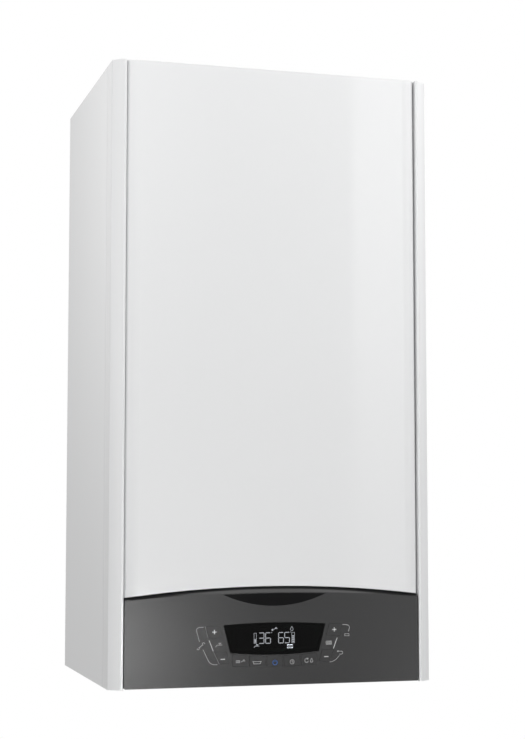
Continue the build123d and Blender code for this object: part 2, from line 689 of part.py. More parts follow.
coil_back = EXCHANGER_BACK + EXCHANGER_WALL + SEAT_GAP
exchanger_axis = Axis((0, 0, up(EXCHANGER_HEIGHT)), (0, 1, 0))
with BuildPart() as exchanger_coil:
    flat = COIL_PITCH - COIL_GAP
    coil_reach = COIL_OUTER_RADIUS - COIL_INNER_RADIUS
    coil_middle = up(EXCHANGER_HEIGHT) + (COIL_INNER_RADIUS + COIL_OUTER_RADIUS) / 2
    for turn in range(COIL_TURNS):
        turn_middle = -(coil_back + flat / 2 + turn * COIL_PITCH)
        with BuildSketch(Plane.YZ):
            with Locations((turn_middle, coil_middle)):
                RectangleRounded(flat, coil_reach, COIL_GAP)
                Rectangle(flat - 2 * COIL_WALL, coil_reach - 2 * COIL_WALL, mode=Mode.SUBTRACT)
        revolve(axis=exchanger_axis)
    # bars that hold the turns apart
    coil_length = (COIL_TURNS - 1) * COIL_PITCH + flat
    with BuildSketch(at_depth(coil_back + COIL_WALL)):
        with Locations((0, up(EXCHANGER_HEIGHT))):
            with PolarLocations((COIL_INNER_RADIUS + COIL_OUTER_RADIUS) / 2, 3):
                Rectangle(coil_reach / 2, 2 * COIL_GAP)
    extrude(amount=coil_length - 2 * COIL_WALL)
save("exchanger_coil", exchanger_coil.part)

with BuildPart() as burner:
    burner_span = (exchanger_front - BURNER_LENGTH, exchanger_front)
    barrel(0, EXCHANGER_HEIGHT, burner_span, BURNER_RADIUS)
    barrel(0, EXCHANGER_HEIGHT, (exchanger_front - BURNER_WALL, exchanger_front), BURNER_RADIUS + COIL_GAP)
    barrel(
        0,
        EXCHANGER_HEIGHT,
        (burner_span[0] + BURNER_WALL, exchanger_front),
        BURNER_RADIUS - BURNER_WALL,
        mode=Mode.SUBTRACT,
    )
save("burner", burner.part)

door_front = exchanger_front + DOOR_PLATE
hood_front = door_front + HOOD_DEPTH
hood_middle = (door_front + hood_front) / 2
outlet_right = FAN_ACROSS + SCROLL_START + SCROLL_GROWTH
outlet_middle = outlet_right - OUTLET_WIDTH / 2
outlet_top = FAN_HEIGHT + OUTLET_RISE
fan_middle = FAN_BACK + FAN_THICKNESS / 2
electrode_places = [
    (-ELECTRODE_OFFSET, EXCHANGER_HEIGHT + step * ELECTRODE_SPACING / 2) for step in (-1, 1)
]

with BuildPart() as burner_door:
    door_radius = EXCHANGER_RADIUS - DOOR_MARGIN
    barrel(0, EXCHANGER_HEIGHT, (exchanger_front, door_front), door_radius)
    with BuildSketch(at_depth(door_front)):
        with Locations((0, up(EXCHANGER_HEIGHT))):
            RectangleRounded(HOOD_WIDTH, HOOD_HEIGHT, HOOD_ROUND)
    extrude(amount=HOOD_DEPTH, taper=6)
    hood_edge = burner_door.part.faces().filter_by(Axis.Y).sort_by(Axis.Y)[0]
    fillet(hood_edge.edges(), HOOD_ROUND / 3)
    with BuildLine() as mix_route:
        FilletPolyline(
            place(outlet_middle, fan_middle, outlet_top),
            place(outlet_middle, fan_middle, outlet_top + OUTLET_WIDTH),
            place(outlet_middle, hood_middle, EXCHANGER_HEIGHT),
            place(HOOD_WIDTH / 4, hood_middle, EXCHANGER_HEIGHT),
            radius=MIX_DUCT_BEND,
        )
    with BuildSketch(Plane(origin=mix_route.line @ 0, z_dir=mix_route.line % 0)):
        Circle(MIX_DUCT_RADIUS)
    sweep(path=mix_route.line)
    with BuildSketch(Plane(origin=mix_route.line @ 0, z_dir=mix_route.line % 0)):
        Circle(MIX_DUCT_RADIUS - MIX_DUCT_WALL)
    sweep(path=mix_route.line, mode=Mode.SUBTRACT)
    with BuildSketch(at_height(outlet_top)):
        with Locations((outlet_middle, -fan_middle)):
            RectangleRounded(OUTLET_WIDTH + 2 * FAN_WALL, FAN_THICKNESS, FAN_WALL)
            Circle(MIX_DUCT_RADIUS - MIX_DUCT_WALL, mode=Mode.SUBTRACT)
    extrude(amount=2 * FAN_WALL)
    for across, height in electrode_places:
        barrel(across, height, (exchanger_front, door_front), ELECTRODE_RADIUS + RUNNING_GAP,
               mode=Mode.SUBTRACT)
save("burner_door", burner_door.part)

with BuildPart() as fixings:
    # studs that locate the front cover
    for across, height in stud_places:
        barrel(across, height, (SEAM_DEPTH, SEAM_DEPTH + STUD_LENGTH), STUD_RADIUS)
    chamfer(fixings.part.faces().group_by(Axis.Y)[0].edges(), STUD_RADIUS / 3)
    # screws of the top panel
    for across, depth in screw_spots:
        post(across, depth, (CASE_HEIGHT, CASE_HEIGHT + SCREW_HEAD_HEIGHT), SCREW_HEAD_RADIUS)
        post(across, depth, (CASE_HEIGHT - 4 * SHEET, CASE_HEIGHT), SCREW_HEAD_RADIUS / 2)
    # nuts of the burner door
    nut_circle = door_radius - 2 * NUT_RADIUS
    with BuildSketch(at_depth(door_front)):
        with Locations((0, up(EXCHANGER_HEIGHT))):
            with PolarLocations(nut_circle, NUT_COUNT, start_angle=180 / NUT_COUNT):
                RegularPolygon(NUT_RADIUS, 6)
    extrude(amount=NUT_HEIGHT)
save("fixings", fixings.part)

with BuildPart() as electrodes:
    for across, height in electrode_places:
        barrel(across, height, (exchanger_front, door_front + ELECTRODE_FRONT), ELECTRODE_RADIUS)
        barrel(across, height, (door_front, door_front + 2 * NUT_RADIUS / 2), ELECTRODE_RADIUS + SHEET)
        barrel(across, height, (exchanger_front - ELECTRODE_TIP, exchanger_front), ELECTRODE_WIRE)
save("electrodes", electrodes.part)


# ================================================================ fan and gas train
def scroll_outline(inset):
    """Face of the fan's spiral casing, drawn in from its outer line by inset."""
    turn = [SCROLL_START + SCROLL_GROWTH * step / 3 for step in (0, 0.5, 1, 1.5, 2, 2.5, 3)]
    spots = [
        (
            FAN_ACROSS + (reach - inset) * math.cos(math.radians(90 + 45 * step)),
            up(FAN_HEIGHT) + (reach - inset) * math.sin(math.radians(90 + 45 * step)),
        )
        for step, reach in enumerate(turn)
    ]
    right = outlet_right - inset
    left = outlet_right - OUTLET_WIDTH + inset
    with BuildSketch(at_depth(FAN_BACK + inset)) as outline:
        with BuildLine():
            ThreePointArc(spots[0], spots[1], spots[2])
            ThreePointArc(spots[2], spots[3], spots[4])
            ThreePointArc(spots[4], spots[5], spots[6])
            Polyline(
                spots[6],
                (right, up(outlet_top)),
                (left, up(outlet_top)),
                (left, spots[0][1]),
                spots[0],
            )
        make_face()
    return outline.sketch


with BuildPart() as fan_housing:
    extrude(scroll_outline(0), amount=FAN_THICKNESS)
    extrude(scroll_outline(FAN_WALL), amount=FAN_THICKNESS - 2 * FAN_WALL, mode=Mode.SUBTRACT)
    barrel(FAN_ACROSS, FAN_HEIGHT, (FAN_BACK, FAN_BACK + FAN_WALL), IMPELLER_EYE, mode=Mode.SUBTRACT)
    fan_front = FAN_BACK + FAN_THICKNESS
    barrel(FAN_ACROSS, FAN_HEIGHT, (fan_front - FAN_WALL, fan_front), SHAFT_RADIUS + RUNNING_GAP,
           mode=Mode.SUBTRACT)
save("fan_housing", fan_housing.part)

with BuildPart() as fan_impeller:
    wheel_back = FAN_BACK + 2 * FAN_WALL
    wheel_front = wheel_back + IMPELLER_WIDTH
    barrel(FAN_ACROSS, FAN_HEIGHT, (wheel_front - IMPELLER_PLATE, wheel_front), IMPELLER_RADIUS)
    barrel(FAN_ACROSS, FAN_HEIGHT, (wheel_back, wheel_back + IMPELLER_PLATE), IMPELLER_RADIUS)
    barrel(FAN_ACROSS, FAN_HEIGHT, (wheel_back, wheel_back + IMPELLER_PLATE), IMPELLER_EYE,
           mode=Mode.SUBTRACT)
    with BuildSketch(at_depth(wheel_back + IMPELLER_PLATE)):
        with Locations((FAN_ACROSS, up(FAN_HEIGHT))):
            with PolarLocations((IMPELLER_EYE + IMPELLER_RADIUS) / 2, BLADE_COUNT):
                Rectangle(IMPELLER_RADIUS - IMPELLER_EYE, BLADE_SHEET, rotation=BLADE_LEAN)
    extrude(amount=IMPELLER_WIDTH - 2 * IMPELLER_PLATE)
    barrel(FAN_ACROSS, FAN_HEIGHT, (wheel_front - IMPELLER_WIDTH / 2, wheel_front), 3 * SHAFT_RADIUS)
    shaft_end = FAN_BACK + FAN_THICKNESS + FAN_MOTOR_LENGTH / 2
    barrel(FAN_ACROSS, FAN_HEIGHT, (wheel_front, shaft_end), SHAFT_RADIUS)
save("fan_impeller", fan_impeller.part)

with BuildPart() as fan_motor:
    motor_front = fan_front + FAN_MOTOR_LENGTH
    barrel(FAN_ACROSS, FAN_HEIGHT, (fan_front, motor_front), FAN_MOTOR_RADIUS)
    fillet(fan_motor.part.faces().sort_by(Axis.Y)[0].edges(), 3 * FAN_WALL)
    barrel(FAN_ACROSS, FAN_HEIGHT, (fan_front, fan_front + 2 * FAN_WALL), FAN_MOTOR_RADIUS + 2 * FAN_WALL)
    barrel(FAN_ACROSS, FAN_HEIGHT, (fan_front, shaft_end + FAN_WALL), SHAFT_RADIUS + RUNNING_GAP,
           mode=Mode.SUBTRACT)
save("fan_motor", fan_motor.part)

venturi_back = FAN_BACK - VENTURI_LENGTH
nipple_end = FAN_ACROSS - VENTURI_MOUTH
with BuildPart() as mixer_venturi:
    axis_height = up(FAN_HEIGHT)
    with BuildSketch(Plane.YZ.offset(FAN_ACROSS)):
        with BuildLine():
            waist_depth = venturi_back + 0.4 * VENTURI_LENGTH
            bore = [
                (-venturi_back, axis_height + VENTURI_MOUTH - VENTURI_WALL),
                (-waist_depth, axis_height + VENTURI_WAIST - VENTURI_WALL),
                (-FAN_BACK, axis_height + IMPELLER_EYE - VENTURI_WALL),
            ]
            Polyline(
                *bore,
                (-FAN_BACK, axis_height + VENTURI_MOUTH),
                (-FAN_BACK + VENTURI_WALL, axis_height + VENTURI_MOUTH),
                (-FAN_BACK + VENTURI_WALL, axis_height + IMPELLER_EYE),
                (-waist_depth, axis_height + VENTURI_WAIST),
                (-venturi_back, axis_height + VENTURI_MOUTH),
                close=True,
            )
        make_face()
    revolve(axis=Axis((FAN_ACROSS, 0, axis_height), (0, 1, 0)))
    nipple_root = FAN_ACROSS - VENTURI_WAIST + VENTURI_WALL / 2
    bar((nipple_end, nipple_root), waist_depth, FAN_HEIGHT, GAS_NIPPLE_RADIUS)
save("mixer_venturi", mixer_venturi.part)

silencer_front = venturi_back - SILENCER_GAP
silencer_back = silencer_front - SILENCER_THICKNESS
silencer_left = FAN_ACROSS - VENTURI_MOUTH - SILENCER_ROUND
silencer_right = INNER_HALF - SILENCER_ROUND
silencer_low = FAN_HEIGHT - VENTURI_MOUTH - SILENCER_WALL
silencer_step = FAN_HEIGHT + VENTURI_MOUTH + 2 * SILENCER_ROUND
riser_left = EXCHANGER_RADIUS + 2 * SILENCER_ROUND


def silencer_outline(inset, depth, top):
    """Face of the L-shaped silencer, drawn in from its outer line by inset."""
    with BuildSketch(at_depth(depth)) as outline:
        with BuildLine():
            Polyline(
                (silencer_left + inset, up(silencer_low + inset)),
                (silencer_right - inset, up(silencer_low + inset)),
                (silencer_right - inset, up(top)),
                (riser_left + inset, up(top)),
                (riser_left + inset, up(silencer_step - inset)),
                (silencer_left + inset, up(silencer_step - inset)),
                close=True,
            )
        make_face()
        fillet(outline.vertices().group_by(Axis.Z)[0], SILENCER_ROUND - inset)
    return outline.sketch


with BuildPart() as air_silencer:
    extrude(silencer_outline(0, silencer_back, SILENCER_RISE), amount=SILENCER_THICKNESS)
    extrude(
        silencer_outline(SILENCER_WALL, silencer_back + SILENCER_WALL, SILENCER_RISE),
        amount=SILENCER_THICKNESS - 2 * SILENCER_WALL,
        mode=Mode.SUBTRACT,
    )
    neck_bore = VENTURI_MOUTH - VENTURI_WALL
    barrel(FAN_ACROSS, FAN_HEIGHT, (silencer_front, venturi_back), VENTURI_MOUTH)
    barrel(FAN_ACROSS, FAN_HEIGHT, (silencer_front - SILENCER_WALL, venturi_back), neck_bore,
           mode=Mode.SUBTRACT)
save("air_silencer", air_silencer.part)

valve_right = nipple_end
valve_left = valve_right - GAS_VALVE_WIDTH
valve_across = (valve_left + valve_right) / 2
valve_low = FAN_HEIGHT - GAS_VALVE_HEIGHT / 2
valve_high = FAN_HEIGHT + GAS_VALVE_HEIGHT / 2
with BuildPart() as gas_valve:
    valve_depths = (waist_depth - GAS_VALVE_DEPTH / 2, waist_depth + GAS_VALVE_DEPTH / 2)
    block((valve_left, valve_right), valve_depths, (valve_low, valve_high))
    fillet(gas_valve.part.edges().filter_by(Axis.Z), GAS_VALVE_COIL / 3)
    for share in (0.28, 0.72):
        spot = valve_left + share * GAS_VALVE_WIDTH
        post(spot, waist_depth, (valve_high, valve_high + GAS_VALVE_CAP / 3), GAS_VALVE_COIL - 2 * SHEET)
    barrel(valve_left + GAS_VALVE_COIL, FAN_HEIGHT, (valve_depths[1], valve_depths[1] + GAS_VALVE_CAP),
           GAS_VALVE_COIL)
    post(valve_across, waist_depth, (valve_low - UNION_HEIGHT, valve_low), GAS_VALVE_COIL)
save("gas_valve", gas_valve.part)

gas_turn = GROUP_HEIGHT + PORT_RISE + PLATES_HEIGHT + UNION_HEIGHT
gas_stops = [
    (gas_inlet, TAIL_DEPTH, TAIL_END),
    (gas_inlet, TAIL_DEPTH, gas_turn),
    (valve_across, waist_depth, gas_turn),
    (valve_across, waist_depth, valve_low - UNION_HEIGHT),
]
union_span = (UNION_TOP - UNION_HEIGHT, UNION_TOP)
gas_run = pipe(gas_stops, HEATING_TAIL_RADIUS, PIPE_WALL, PIPE_BEND)
with BuildPart() as gas_pipe:
    add(gas_run)
    with BuildSketch(at_height(union_span[0])):
        with Locations((gas_inlet, -TAIL_DEPTH)):
            RegularPolygon(UNION_RADIUS, 6)
            Circle(HEATING_TAIL_RADIUS - PIPE_WALL, mode=Mode.SUBTRACT)
    extrude(amount=UNION_HEIGHT)
save("gas_pipe", gas_pipe.part)

trap_top = TRAP_BOTTOM + TRAP_HEIGHT
trap_hose_in = pipe(
    [
        (drain_port_across, drain_port_depth, drain_port_height - UNION_HEIGHT),
        (drain_port_across, drain_port_depth, drain_port_height - 4 * UNION_HEIGHT),
        (TRAP_ACROSS, TRAP_DEPTH, trap_top + 3 * UNION_HEIGHT),
        (TRAP_ACROSS, TRAP_DEPTH, trap_top),
    ],
    HOSE_RADIUS,
    HOSE_WALL,
    2 * HOSE_RADIUS,
)
trap_hose_out = pipe(
    [
        (TRAP_ACROSS, TRAP_DEPTH, TRAP_BOTTOM),
        (TRAP_ACROSS, TRAP_DEPTH, TRAP_BOTTOM - 3 * UNION_HEIGHT),
        (DRAIN_ACROSS, DRAIN_DEPTH, TRAP_BOTTOM - 6 * UNION_HEIGHT),
        (DRAIN_ACROSS, DRAIN_DEPTH, DRAIN_END),
    ],
    HOSE_RADIUS,
    HOSE_WALL,
    2 * HOSE_RADIUS,
)
with BuildPart() as condensate_trap:
    post(TRAP_ACROSS, TRAP_DEPTH, (TRAP_BOTTOM, trap_top), TRAP_RADIUS)
    chamfer(condensate_trap.part.faces().sort_by(Axis.Z)[0].edges(), TRAP_RADIUS / 2)
    post(TRAP_ACROSS, TRAP_DEPTH, (trap_top - 2 * UNION_HEIGHT, trap_top), TRAP_RADIUS + 2 * SHEET)
    add(trap_hose_in)
    add(trap_hose_out)
    # grommet of the drain hose on the bottom plate
    post(DRAIN_ACROSS, DRAIN_DEPTH, (plate_top, plate_top + GROMMET), HOSE_RADIUS + PLATE_HOLE_GAP + SHEET)
    post(DRAIN_ACROSS, DRAIN_DEPTH, (plate_top, plate_top + GROMMET), HOSE_RADIUS - HOSE_WALL,
         mode=Mode.SUBTRACT)
save("condensate_trap", condensate_trap.part)

# ================================================================ water side
with BuildPart() as water_tails:
    tail_radii = {
        heating_flow: HEATING_TAIL_RADIUS,
        hot_outlet: WATER_TAIL_RADIUS,
        cold_inlet: WATER_TAIL_RADIUS,
        heating_return: HEATING_TAIL_RADIUS,
    }
    for across, radius in tail_radii.items():
        post(across, TAIL_DEPTH, (TAIL_END, UNION_TOP), radius)
    with BuildSketch(at_height(union_span[0])):
        for across in tail_radii:
            with Locations((across, -TAIL_DEPTH)):
                RegularPolygon(UNION_RADIUS, 6)
    extrude(amount=UNION_HEIGHT)
    # filling loop with its tap, between the cold inlet and the heating return
    bar((cold_inlet, heating_return), TAIL_DEPTH, TAP_HEIGHT, 2 * TAP_RADIUS / 3)
    for across in (cold_inlet, heating_return):
        saddle = (TAP_HEIGHT - TAP_RADIUS + SHEET, TAP_HEIGHT + TAP_RADIUS - SHEET)
        post(across, TAIL_DEPTH, saddle, tail_radii[across] + TAP_SADDLE)
    tap_middle = (cold_inlet + heating_return) / 2
    tap_front = TAIL_DEPTH + TAP_BODY_DEPTH
    barrel(tap_middle, TAP_HEIGHT, (TAIL_DEPTH - TAP_RADIUS, tap_front), TAP_RADIUS)
    barrel(tap_middle, TAP_HEIGHT, (TAIL_DEPTH, tap_front), SHAFT_RADIUS + RUNNING_GAP, mode=Mode.SUBTRACT)
    for across, radius in tail_radii.items():
        post(across, TAIL_DEPTH, (TAIL_END, UNION_TOP), radius - PIPE_WALL, mode=Mode.SUBTRACT)
save("water_tails", water_tails.part)

with BuildPart() as filling_tap_handle:
    lever_back = tap_front + SEAT_GAP
    lever_front = lever_back + TAP_LEVER_SHEET
    barrel(tap_middle, TAP_HEIGHT, (TAIL_DEPTH + SHEET, lever_back), SHAFT_RADIUS)
    barrel(tap_middle, TAP_HEIGHT, (lever_back, lever_front + SHEET), TAP_RADIUS - SHEET)
    with BuildSketch(at_depth(lever_back)):
        with Locations((tap_middle + TAP_LEVER / 2, up(TAP_HEIGHT))):
            SlotOverall(TAP_LEVER + TAP_LEVER_WIDTH, TAP_LEVER_WIDTH)
    extrude(amount=TAP_LEVER_SHEET)
save("filling_tap_handle", filling_tap_handle.part)

upper_port = GROUP_HEIGHT + PORT_RISE
flow_pipe_across = DRAIN_ACROSS
chamber_low = GROUP_HEIGHT - DIVERTER_CHAMBER_RADIUS
flange_low = DIVERTER_TOP - DIVERTER_FLANGE_SHEET
neck_span = (UNION_TOP, GROUP_HEIGHT)
with BuildPart() as flow_group:
    bar((flow_pipe_across - GROUP_END, hot_outlet + GROUP_END), TAIL_DEPTH, GROUP_HEIGHT, GROUP_RADIUS)
    post(heating_flow, TAIL_DEPTH, neck_span, GROUP_NECK)
    post(hot_outlet, TAIL_DEPTH, neck_span, GROUP_NECK)
    post(flow_pipe_across, TAIL_DEPTH, (GROUP_HEIGHT, GROUP_HEIGHT + GROUP_RADIUS + SHEET), GROUP_NECK)
    post(heating_flow, TAIL_DEPTH, (chamber_low, DIVERTER_TOP), DIVERTER_CHAMBER_RADIUS)
    half_flange = DIVERTER_FLANGE / 2
    block(
        (heating_flow - half_flange, heating_flow + half_flange),
        (TAIL_DEPTH - half_flange, TAIL_DEPTH + half_flange),
        (flange_low, DIVERTER_TOP),
    )
    post(-PORT_ACROSS, TAIL_DEPTH, (GROUP_HEIGHT, upper_port + PORT_RADIUS), GROUP_NECK)
    barrel(-PORT_ACROSS, GROUP_HEIGHT, (TAIL_DEPTH, PLATES_BACK), PORT_RADIUS)
    barrel(-PORT_ACROSS, upper_port, (TAIL_DEPTH, PLATES_BACK), PORT_RADIUS)
    relief_front = TAIL_DEPTH + RELIEF_LENGTH
    barrel(RELIEF_ACROSS, RELIEF_HEIGHT, (TAIL_DEPTH, relief_front), RELIEF_RADIUS)
    post(
        heating_flow,
        TAIL_DEPTH,
        (DIVERTER_TOP - STEM_SINK - STEM_TRAVEL, DIVERTER_TOP),
        STEM_RADIUS + RUNNING_GAP,
        mode=Mode.SUBTRACT,
    )
save("flow_group", flow_group.part)

with BuildPart() as diverter_stem:
    post(heating_flow, TAIL_DEPTH, (DIVERTER_TOP - STEM_SINK, DIVERTER_TOP + STEM_RISE), STEM_RADIUS)
    collar_low = DIVERTER_TOP + STEM_TRAVEL + SHEET
    post(heating_flow, TAIL_DEPTH, (collar_low, collar_low + STEM_COLLAR), STEM_COLLAR_RADIUS)
save("diverter_stem", diverter_stem.part)

with BuildPart() as diverter_motor:
    motor_low = DIVERTER_TOP + MOTOR_GAP
    motor_depths = (TAIL_DEPTH - half_flange, TAIL_DEPTH + half_flange)
    block((heating_flow - half_flange, heating_flow + half_flange), motor_depths,
          (motor_low, motor_low + MOTOR_HEIGHT))
    fillet(diverter_motor.part.edges().filter_by(Axis.Z), MOTOR_LEG)
    post(heating_flow, TAIL_DEPTH, (motor_low, motor_low + MOTOR_HEIGHT + MOTOR_LEG), half_flange - MOTOR_LEG)
    leg_depths = (TAIL_DEPTH - STEM_COLLAR_RADIUS, TAIL_DEPTH + STEM_COLLAR_RADIUS)
    for side in (-1, 1):
        leg = heating_flow + side * half_flange
        block((leg - side * MOTOR_LEG, leg), leg_depths, (DIVERTER_TOP, motor_low + MOTOR_LEG))
save("diverter_motor", diverter_motor.part)


def fluted_knob(across, height, back):
    """Round knob with finger flutes, on an axis square to the wall."""
    with BuildPart() as knob:
        barrel(across, height, (back, back + KNOB_LENGTH), KNOB_RADIUS)
        fillet(knob.part.faces().sort_by(Axis.Y)[0].edges(), KNOB_RADIUS / 6)
        with BuildSketch(at_depth(back + KNOB_LENGTH / 4)):
            with Locations((across, up(height))):
                with PolarLocations(KNOB_RADIUS + KNOB_RADIUS / 6, KNOB_FLUTES):
                    Circle(KNOB_RADIUS / 3)
        extrude(amount=KNOB_LENGTH, mode=Mode.SUBTRACT)
    return knob.part


relief_valve_knob = fluted_knob(RELIEF_ACROSS, RELIEF_HEIGHT, relief_front + SEAT_GAP)
save("relief_valve_knob", relief_valve_knob)

pump_front = PUMP_BACK + PUMP_BODY_LENGTH
pump_inlet = PUMP_HEIGHT - PUMP_RADIUS
with BuildPart() as return_group:
    bar((cold_inlet - GROUP_END, PUMP_ACROSS + GROUP_RADIUS), TAIL_DEPTH, GROUP_HEIGHT, GROUP_RADIUS)
    post(cold_inlet, TAIL_DEPTH, neck_span, GROUP_NECK)
    post(heating_return, TAIL_DEPTH, neck_span, GROUP_NECK)
    post(PORT_ACROSS, TAIL_DEPTH, (GROUP_HEIGHT, upper_port + PORT_RADIUS), GROUP_NECK)
    barrel(PORT_ACROSS, GROUP_HEIGHT, (TAIL_DEPTH, PLATES_BACK), PORT_RADIUS)
    barrel(PORT_ACROSS, upper_port, (TAIL_DEPTH, PLATES_BACK), PORT_RADIUS)
    # seat of the pump
    post(PUMP_ACROSS, PUMP_NECK_DEPTH, (GROUP_HEIGHT, pump_inlet - UNION_HEIGHT), GROUP_RADIUS)
    barrel(PUMP_ACROSS, GROUP_HEIGHT, (TAIL_DEPTH, PUMP_NECK_DEPTH), GROUP_RADIUS)
save("return_group", return_group.part)

motor_cavity = PUMP_ROTOR_RADIUS + 2 * SHEET
rotor_front = pump_front + PUMP_MOTOR_LENGTH - 2 * PUMP_WALL
with BuildPart() as pump_body:
    barrel(PUMP_ACROSS, PUMP_HEIGHT, (PUMP_BACK, pump_front), PUMP_RADIUS)
    fillet(pump_body.part.faces().sort_by(Axis.Y)[-1].edges(), PUMP_WALL)
    post(PUMP_ACROSS, PUMP_NECK_DEPTH, (pump_inlet - UNION_HEIGHT, PUMP_HEIGHT), GROUP_RADIUS)
    post(PUMP_ACROSS, PUMP_NECK_DEPTH, (PUMP_HEIGHT, PUMP_HEIGHT + PUMP_RADIUS + UNION_HEIGHT), GROUP_NECK)
    # automatic air vent on a shoulder of the volute
    vent_across = PUMP_ACROSS + PUMP_RADIUS - VENT_RADIUS
    post(vent_across, PUMP_NECK_DEPTH, (PUMP_HEIGHT, PUMP_HEIGHT + PUMP_RADIUS), 2 * VENT_RADIUS / 3)
    vent_low = PUMP_HEIGHT + PUMP_RADIUS
    post(vent_across, PUMP_NECK_DEPTH, (vent_low - VENT_RADIUS, vent_low + VENT_HEIGHT), VENT_RADIUS)
    post(vent_across, PUMP_NECK_DEPTH, (vent_low, vent_low + VENT_HEIGHT + 2 * SHEET), VENT_RADIUS / 2)
    barrel(PUMP_ACROSS, PUMP_HEIGHT, (PUMP_BACK + PUMP_WALL, pump_front), PUMP_RADIUS - PUMP_WALL,
           mode=Mode.SUBTRACT)
save("pump_body", pump_body.part)

with BuildPart() as pump_motor:
    motor_end = pump_front + PUMP_MOTOR_LENGTH
    barrel(PUMP_ACROSS, PUMP_HEIGHT, (pump_front, motor_end), PUMP_MOTOR_RADIUS)
    barrel(PUMP_ACROSS, PUMP_HEIGHT, (pump_front, pump_front + PUMP_WALL), PUMP_RADIUS)
    with BuildSketch(at_depth(motor_end)):
        with Locations((PUMP_ACROSS, up(PUMP_HEIGHT))):
            RectangleRounded(2 * PUMP_MOTOR_RADIUS, 2 * PUMP_MOTOR_RADIUS, PUMP_WALL)
    extrude(amount=PUMP_BOX, taper=4)
    barrel(PUMP_ACROSS, PUMP_HEIGHT, (pump_front, rotor_front + SHEET), motor_cavity, mode=Mode.SUBTRACT)
    # bearing of the rotor's shaft
    barrel(PUMP_ACROSS, PUMP_HEIGHT, (rotor_front, rotor_front + PUMP_WALL), PUMP_SHAFT_RADIUS + RUNNING_GAP,
           mode=Mode.SUBTRACT)
save("pump_motor", pump_motor.part)

with BuildPart() as pump_rotor:
    wheel_back = PUMP_BACK + PUMP_WALL + SHEET
    barrel(PUMP_ACROSS, PUMP_HEIGHT, (wheel_back, wheel_back + PUMP_IMPELLER_WIDTH), PUMP_IMPELLER_RADIUS)
    barrel(PUMP_ACROSS, PUMP_HEIGHT, (wheel_back, rotor_front + PUMP_WALL - SHEET), PUMP_SHAFT_RADIUS)
    barrel(PUMP_ACROSS, PUMP_HEIGHT, (pump_front - PUMP_WALL, rotor_front), PUMP_ROTOR_RADIUS)
    with BuildSketch(at_depth(wheel_back)):
        with Locations((PUMP_ACROSS, up(PUMP_HEIGHT))):
            with PolarLocations(0.7 * PUMP_IMPELLER_RADIUS, 6):
                Rectangle(PUMP_IMPELLER_RADIUS / 2, 3 * SHEET, rotation=BLADE_LEAN)
    extrude(amount=PUMP_IMPELLER_WIDTH - 2 * SHEET, mode=Mode.SUBTRACT)
save("pump_rotor", pump_rotor.part)

plates_middle = GROUP_HEIGHT + PORT_RISE / 2
with BuildPart() as plate_exchanger:
    stack = (PLATE_COUNT - 1) * PLATE_PITCH + PLATE_SHEET
    with BuildSketch(at_depth(PLATES_BACK)):
        with Locations((0, up(plates_middle))):
            RectangleRounded(PLATES_WIDTH - PLATE_PITCH, PLATES_HEIGHT - PLATE_PITCH, PLATES_ROUND)
    extrude(amount=stack)
    for plate in range(PLATE_COUNT):
        with BuildSketch(at_depth(PLATES_BACK + plate * PLATE_PITCH)):
            with Locations((0, up(plates_middle))):
                RectangleRounded(PLATES_WIDTH, PLATES_HEIGHT, PLATES_ROUND)
        extrude(amount=PLATE_SHEET)
save("plate_exchanger", plate_exchanger.part)

flow_pipe = pipe(
    [
        (flow_port_across - UNION_HEIGHT, port_depth, flow_port_height),
        (flow_pipe_across, port_depth, flow_port_height),
        (flow_pipe_across, port_depth, GROUP_HEIGHT + 2 * PLATES_HEIGHT),
        (flow_pipe_across, TAIL_DEPTH, GROUP_HEIGHT + PLATES_HEIGHT),
        (flow_pipe_across, TAIL_DEPTH, GROUP_HEIGHT + GROUP_RADIUS + SHEET),
    ],
    HEATING_TAIL_RADIUS,
    PIPE_WALL,
    PIPE_BEND,
)
save("flow_pipe", flow_pipe)

return_turn = PUMP_HEIGHT + PUMP_RADIUS + UNION_HEIGHT + 2 * PIPE_BEND
return_pipe = pipe(
    [
        (PUMP_ACROSS, PUMP_NECK_DEPTH, PUMP_HEIGHT + PUMP_RADIUS + UNION_HEIGHT),
        (PUMP_ACROSS, PUMP_NECK_DEPTH, return_turn),
        (return_port_across, port_depth, return_turn),
        (return_port_across, port_depth, return_port_height - UNION_HEIGHT),
    ],
    HEATING_TAIL_RADIUS,
    PIPE_WALL,
    PIPE_BEND,
)
save("return_pipe", return_pipe)

# ================================================================ front cover
panel_half = HALF_WIDTH - PILASTER_WIDTH - GROOVE
pilaster_inner = HALF_WIDTH - PILASTER_WIDTH
face_depth = CASE_DEPTH - FACE_SETBACK
flange_depth = SEAM_DEPTH + COVER_SEAT + GASKET_THICKNESS
flange_front = flange_depth + COVER_SHEET
cover_half = HALF_WIDTH - COVER_FLANGE_MARGIN
stud_hole = STUD_RADIUS + STUD_HOLE_GAP


def arched_face(half, low, side, crown, round_low=0.0):
    """Upright face with a level foot and an arched top."""
    with BuildSketch(Plane.XZ) as face:
        with BuildLine():
            Polyline((-half, up(side)), (-half, up(low)), (half, up(low)), (half, up(side)))
            ThreePointArc((half, up(side)), (0, up(crown)), (-half, up(side)))
        make_face()
        if round_low:
            fillet(face.vertices().group_by(Axis.Y)[0], round_low)
    return face.sketch


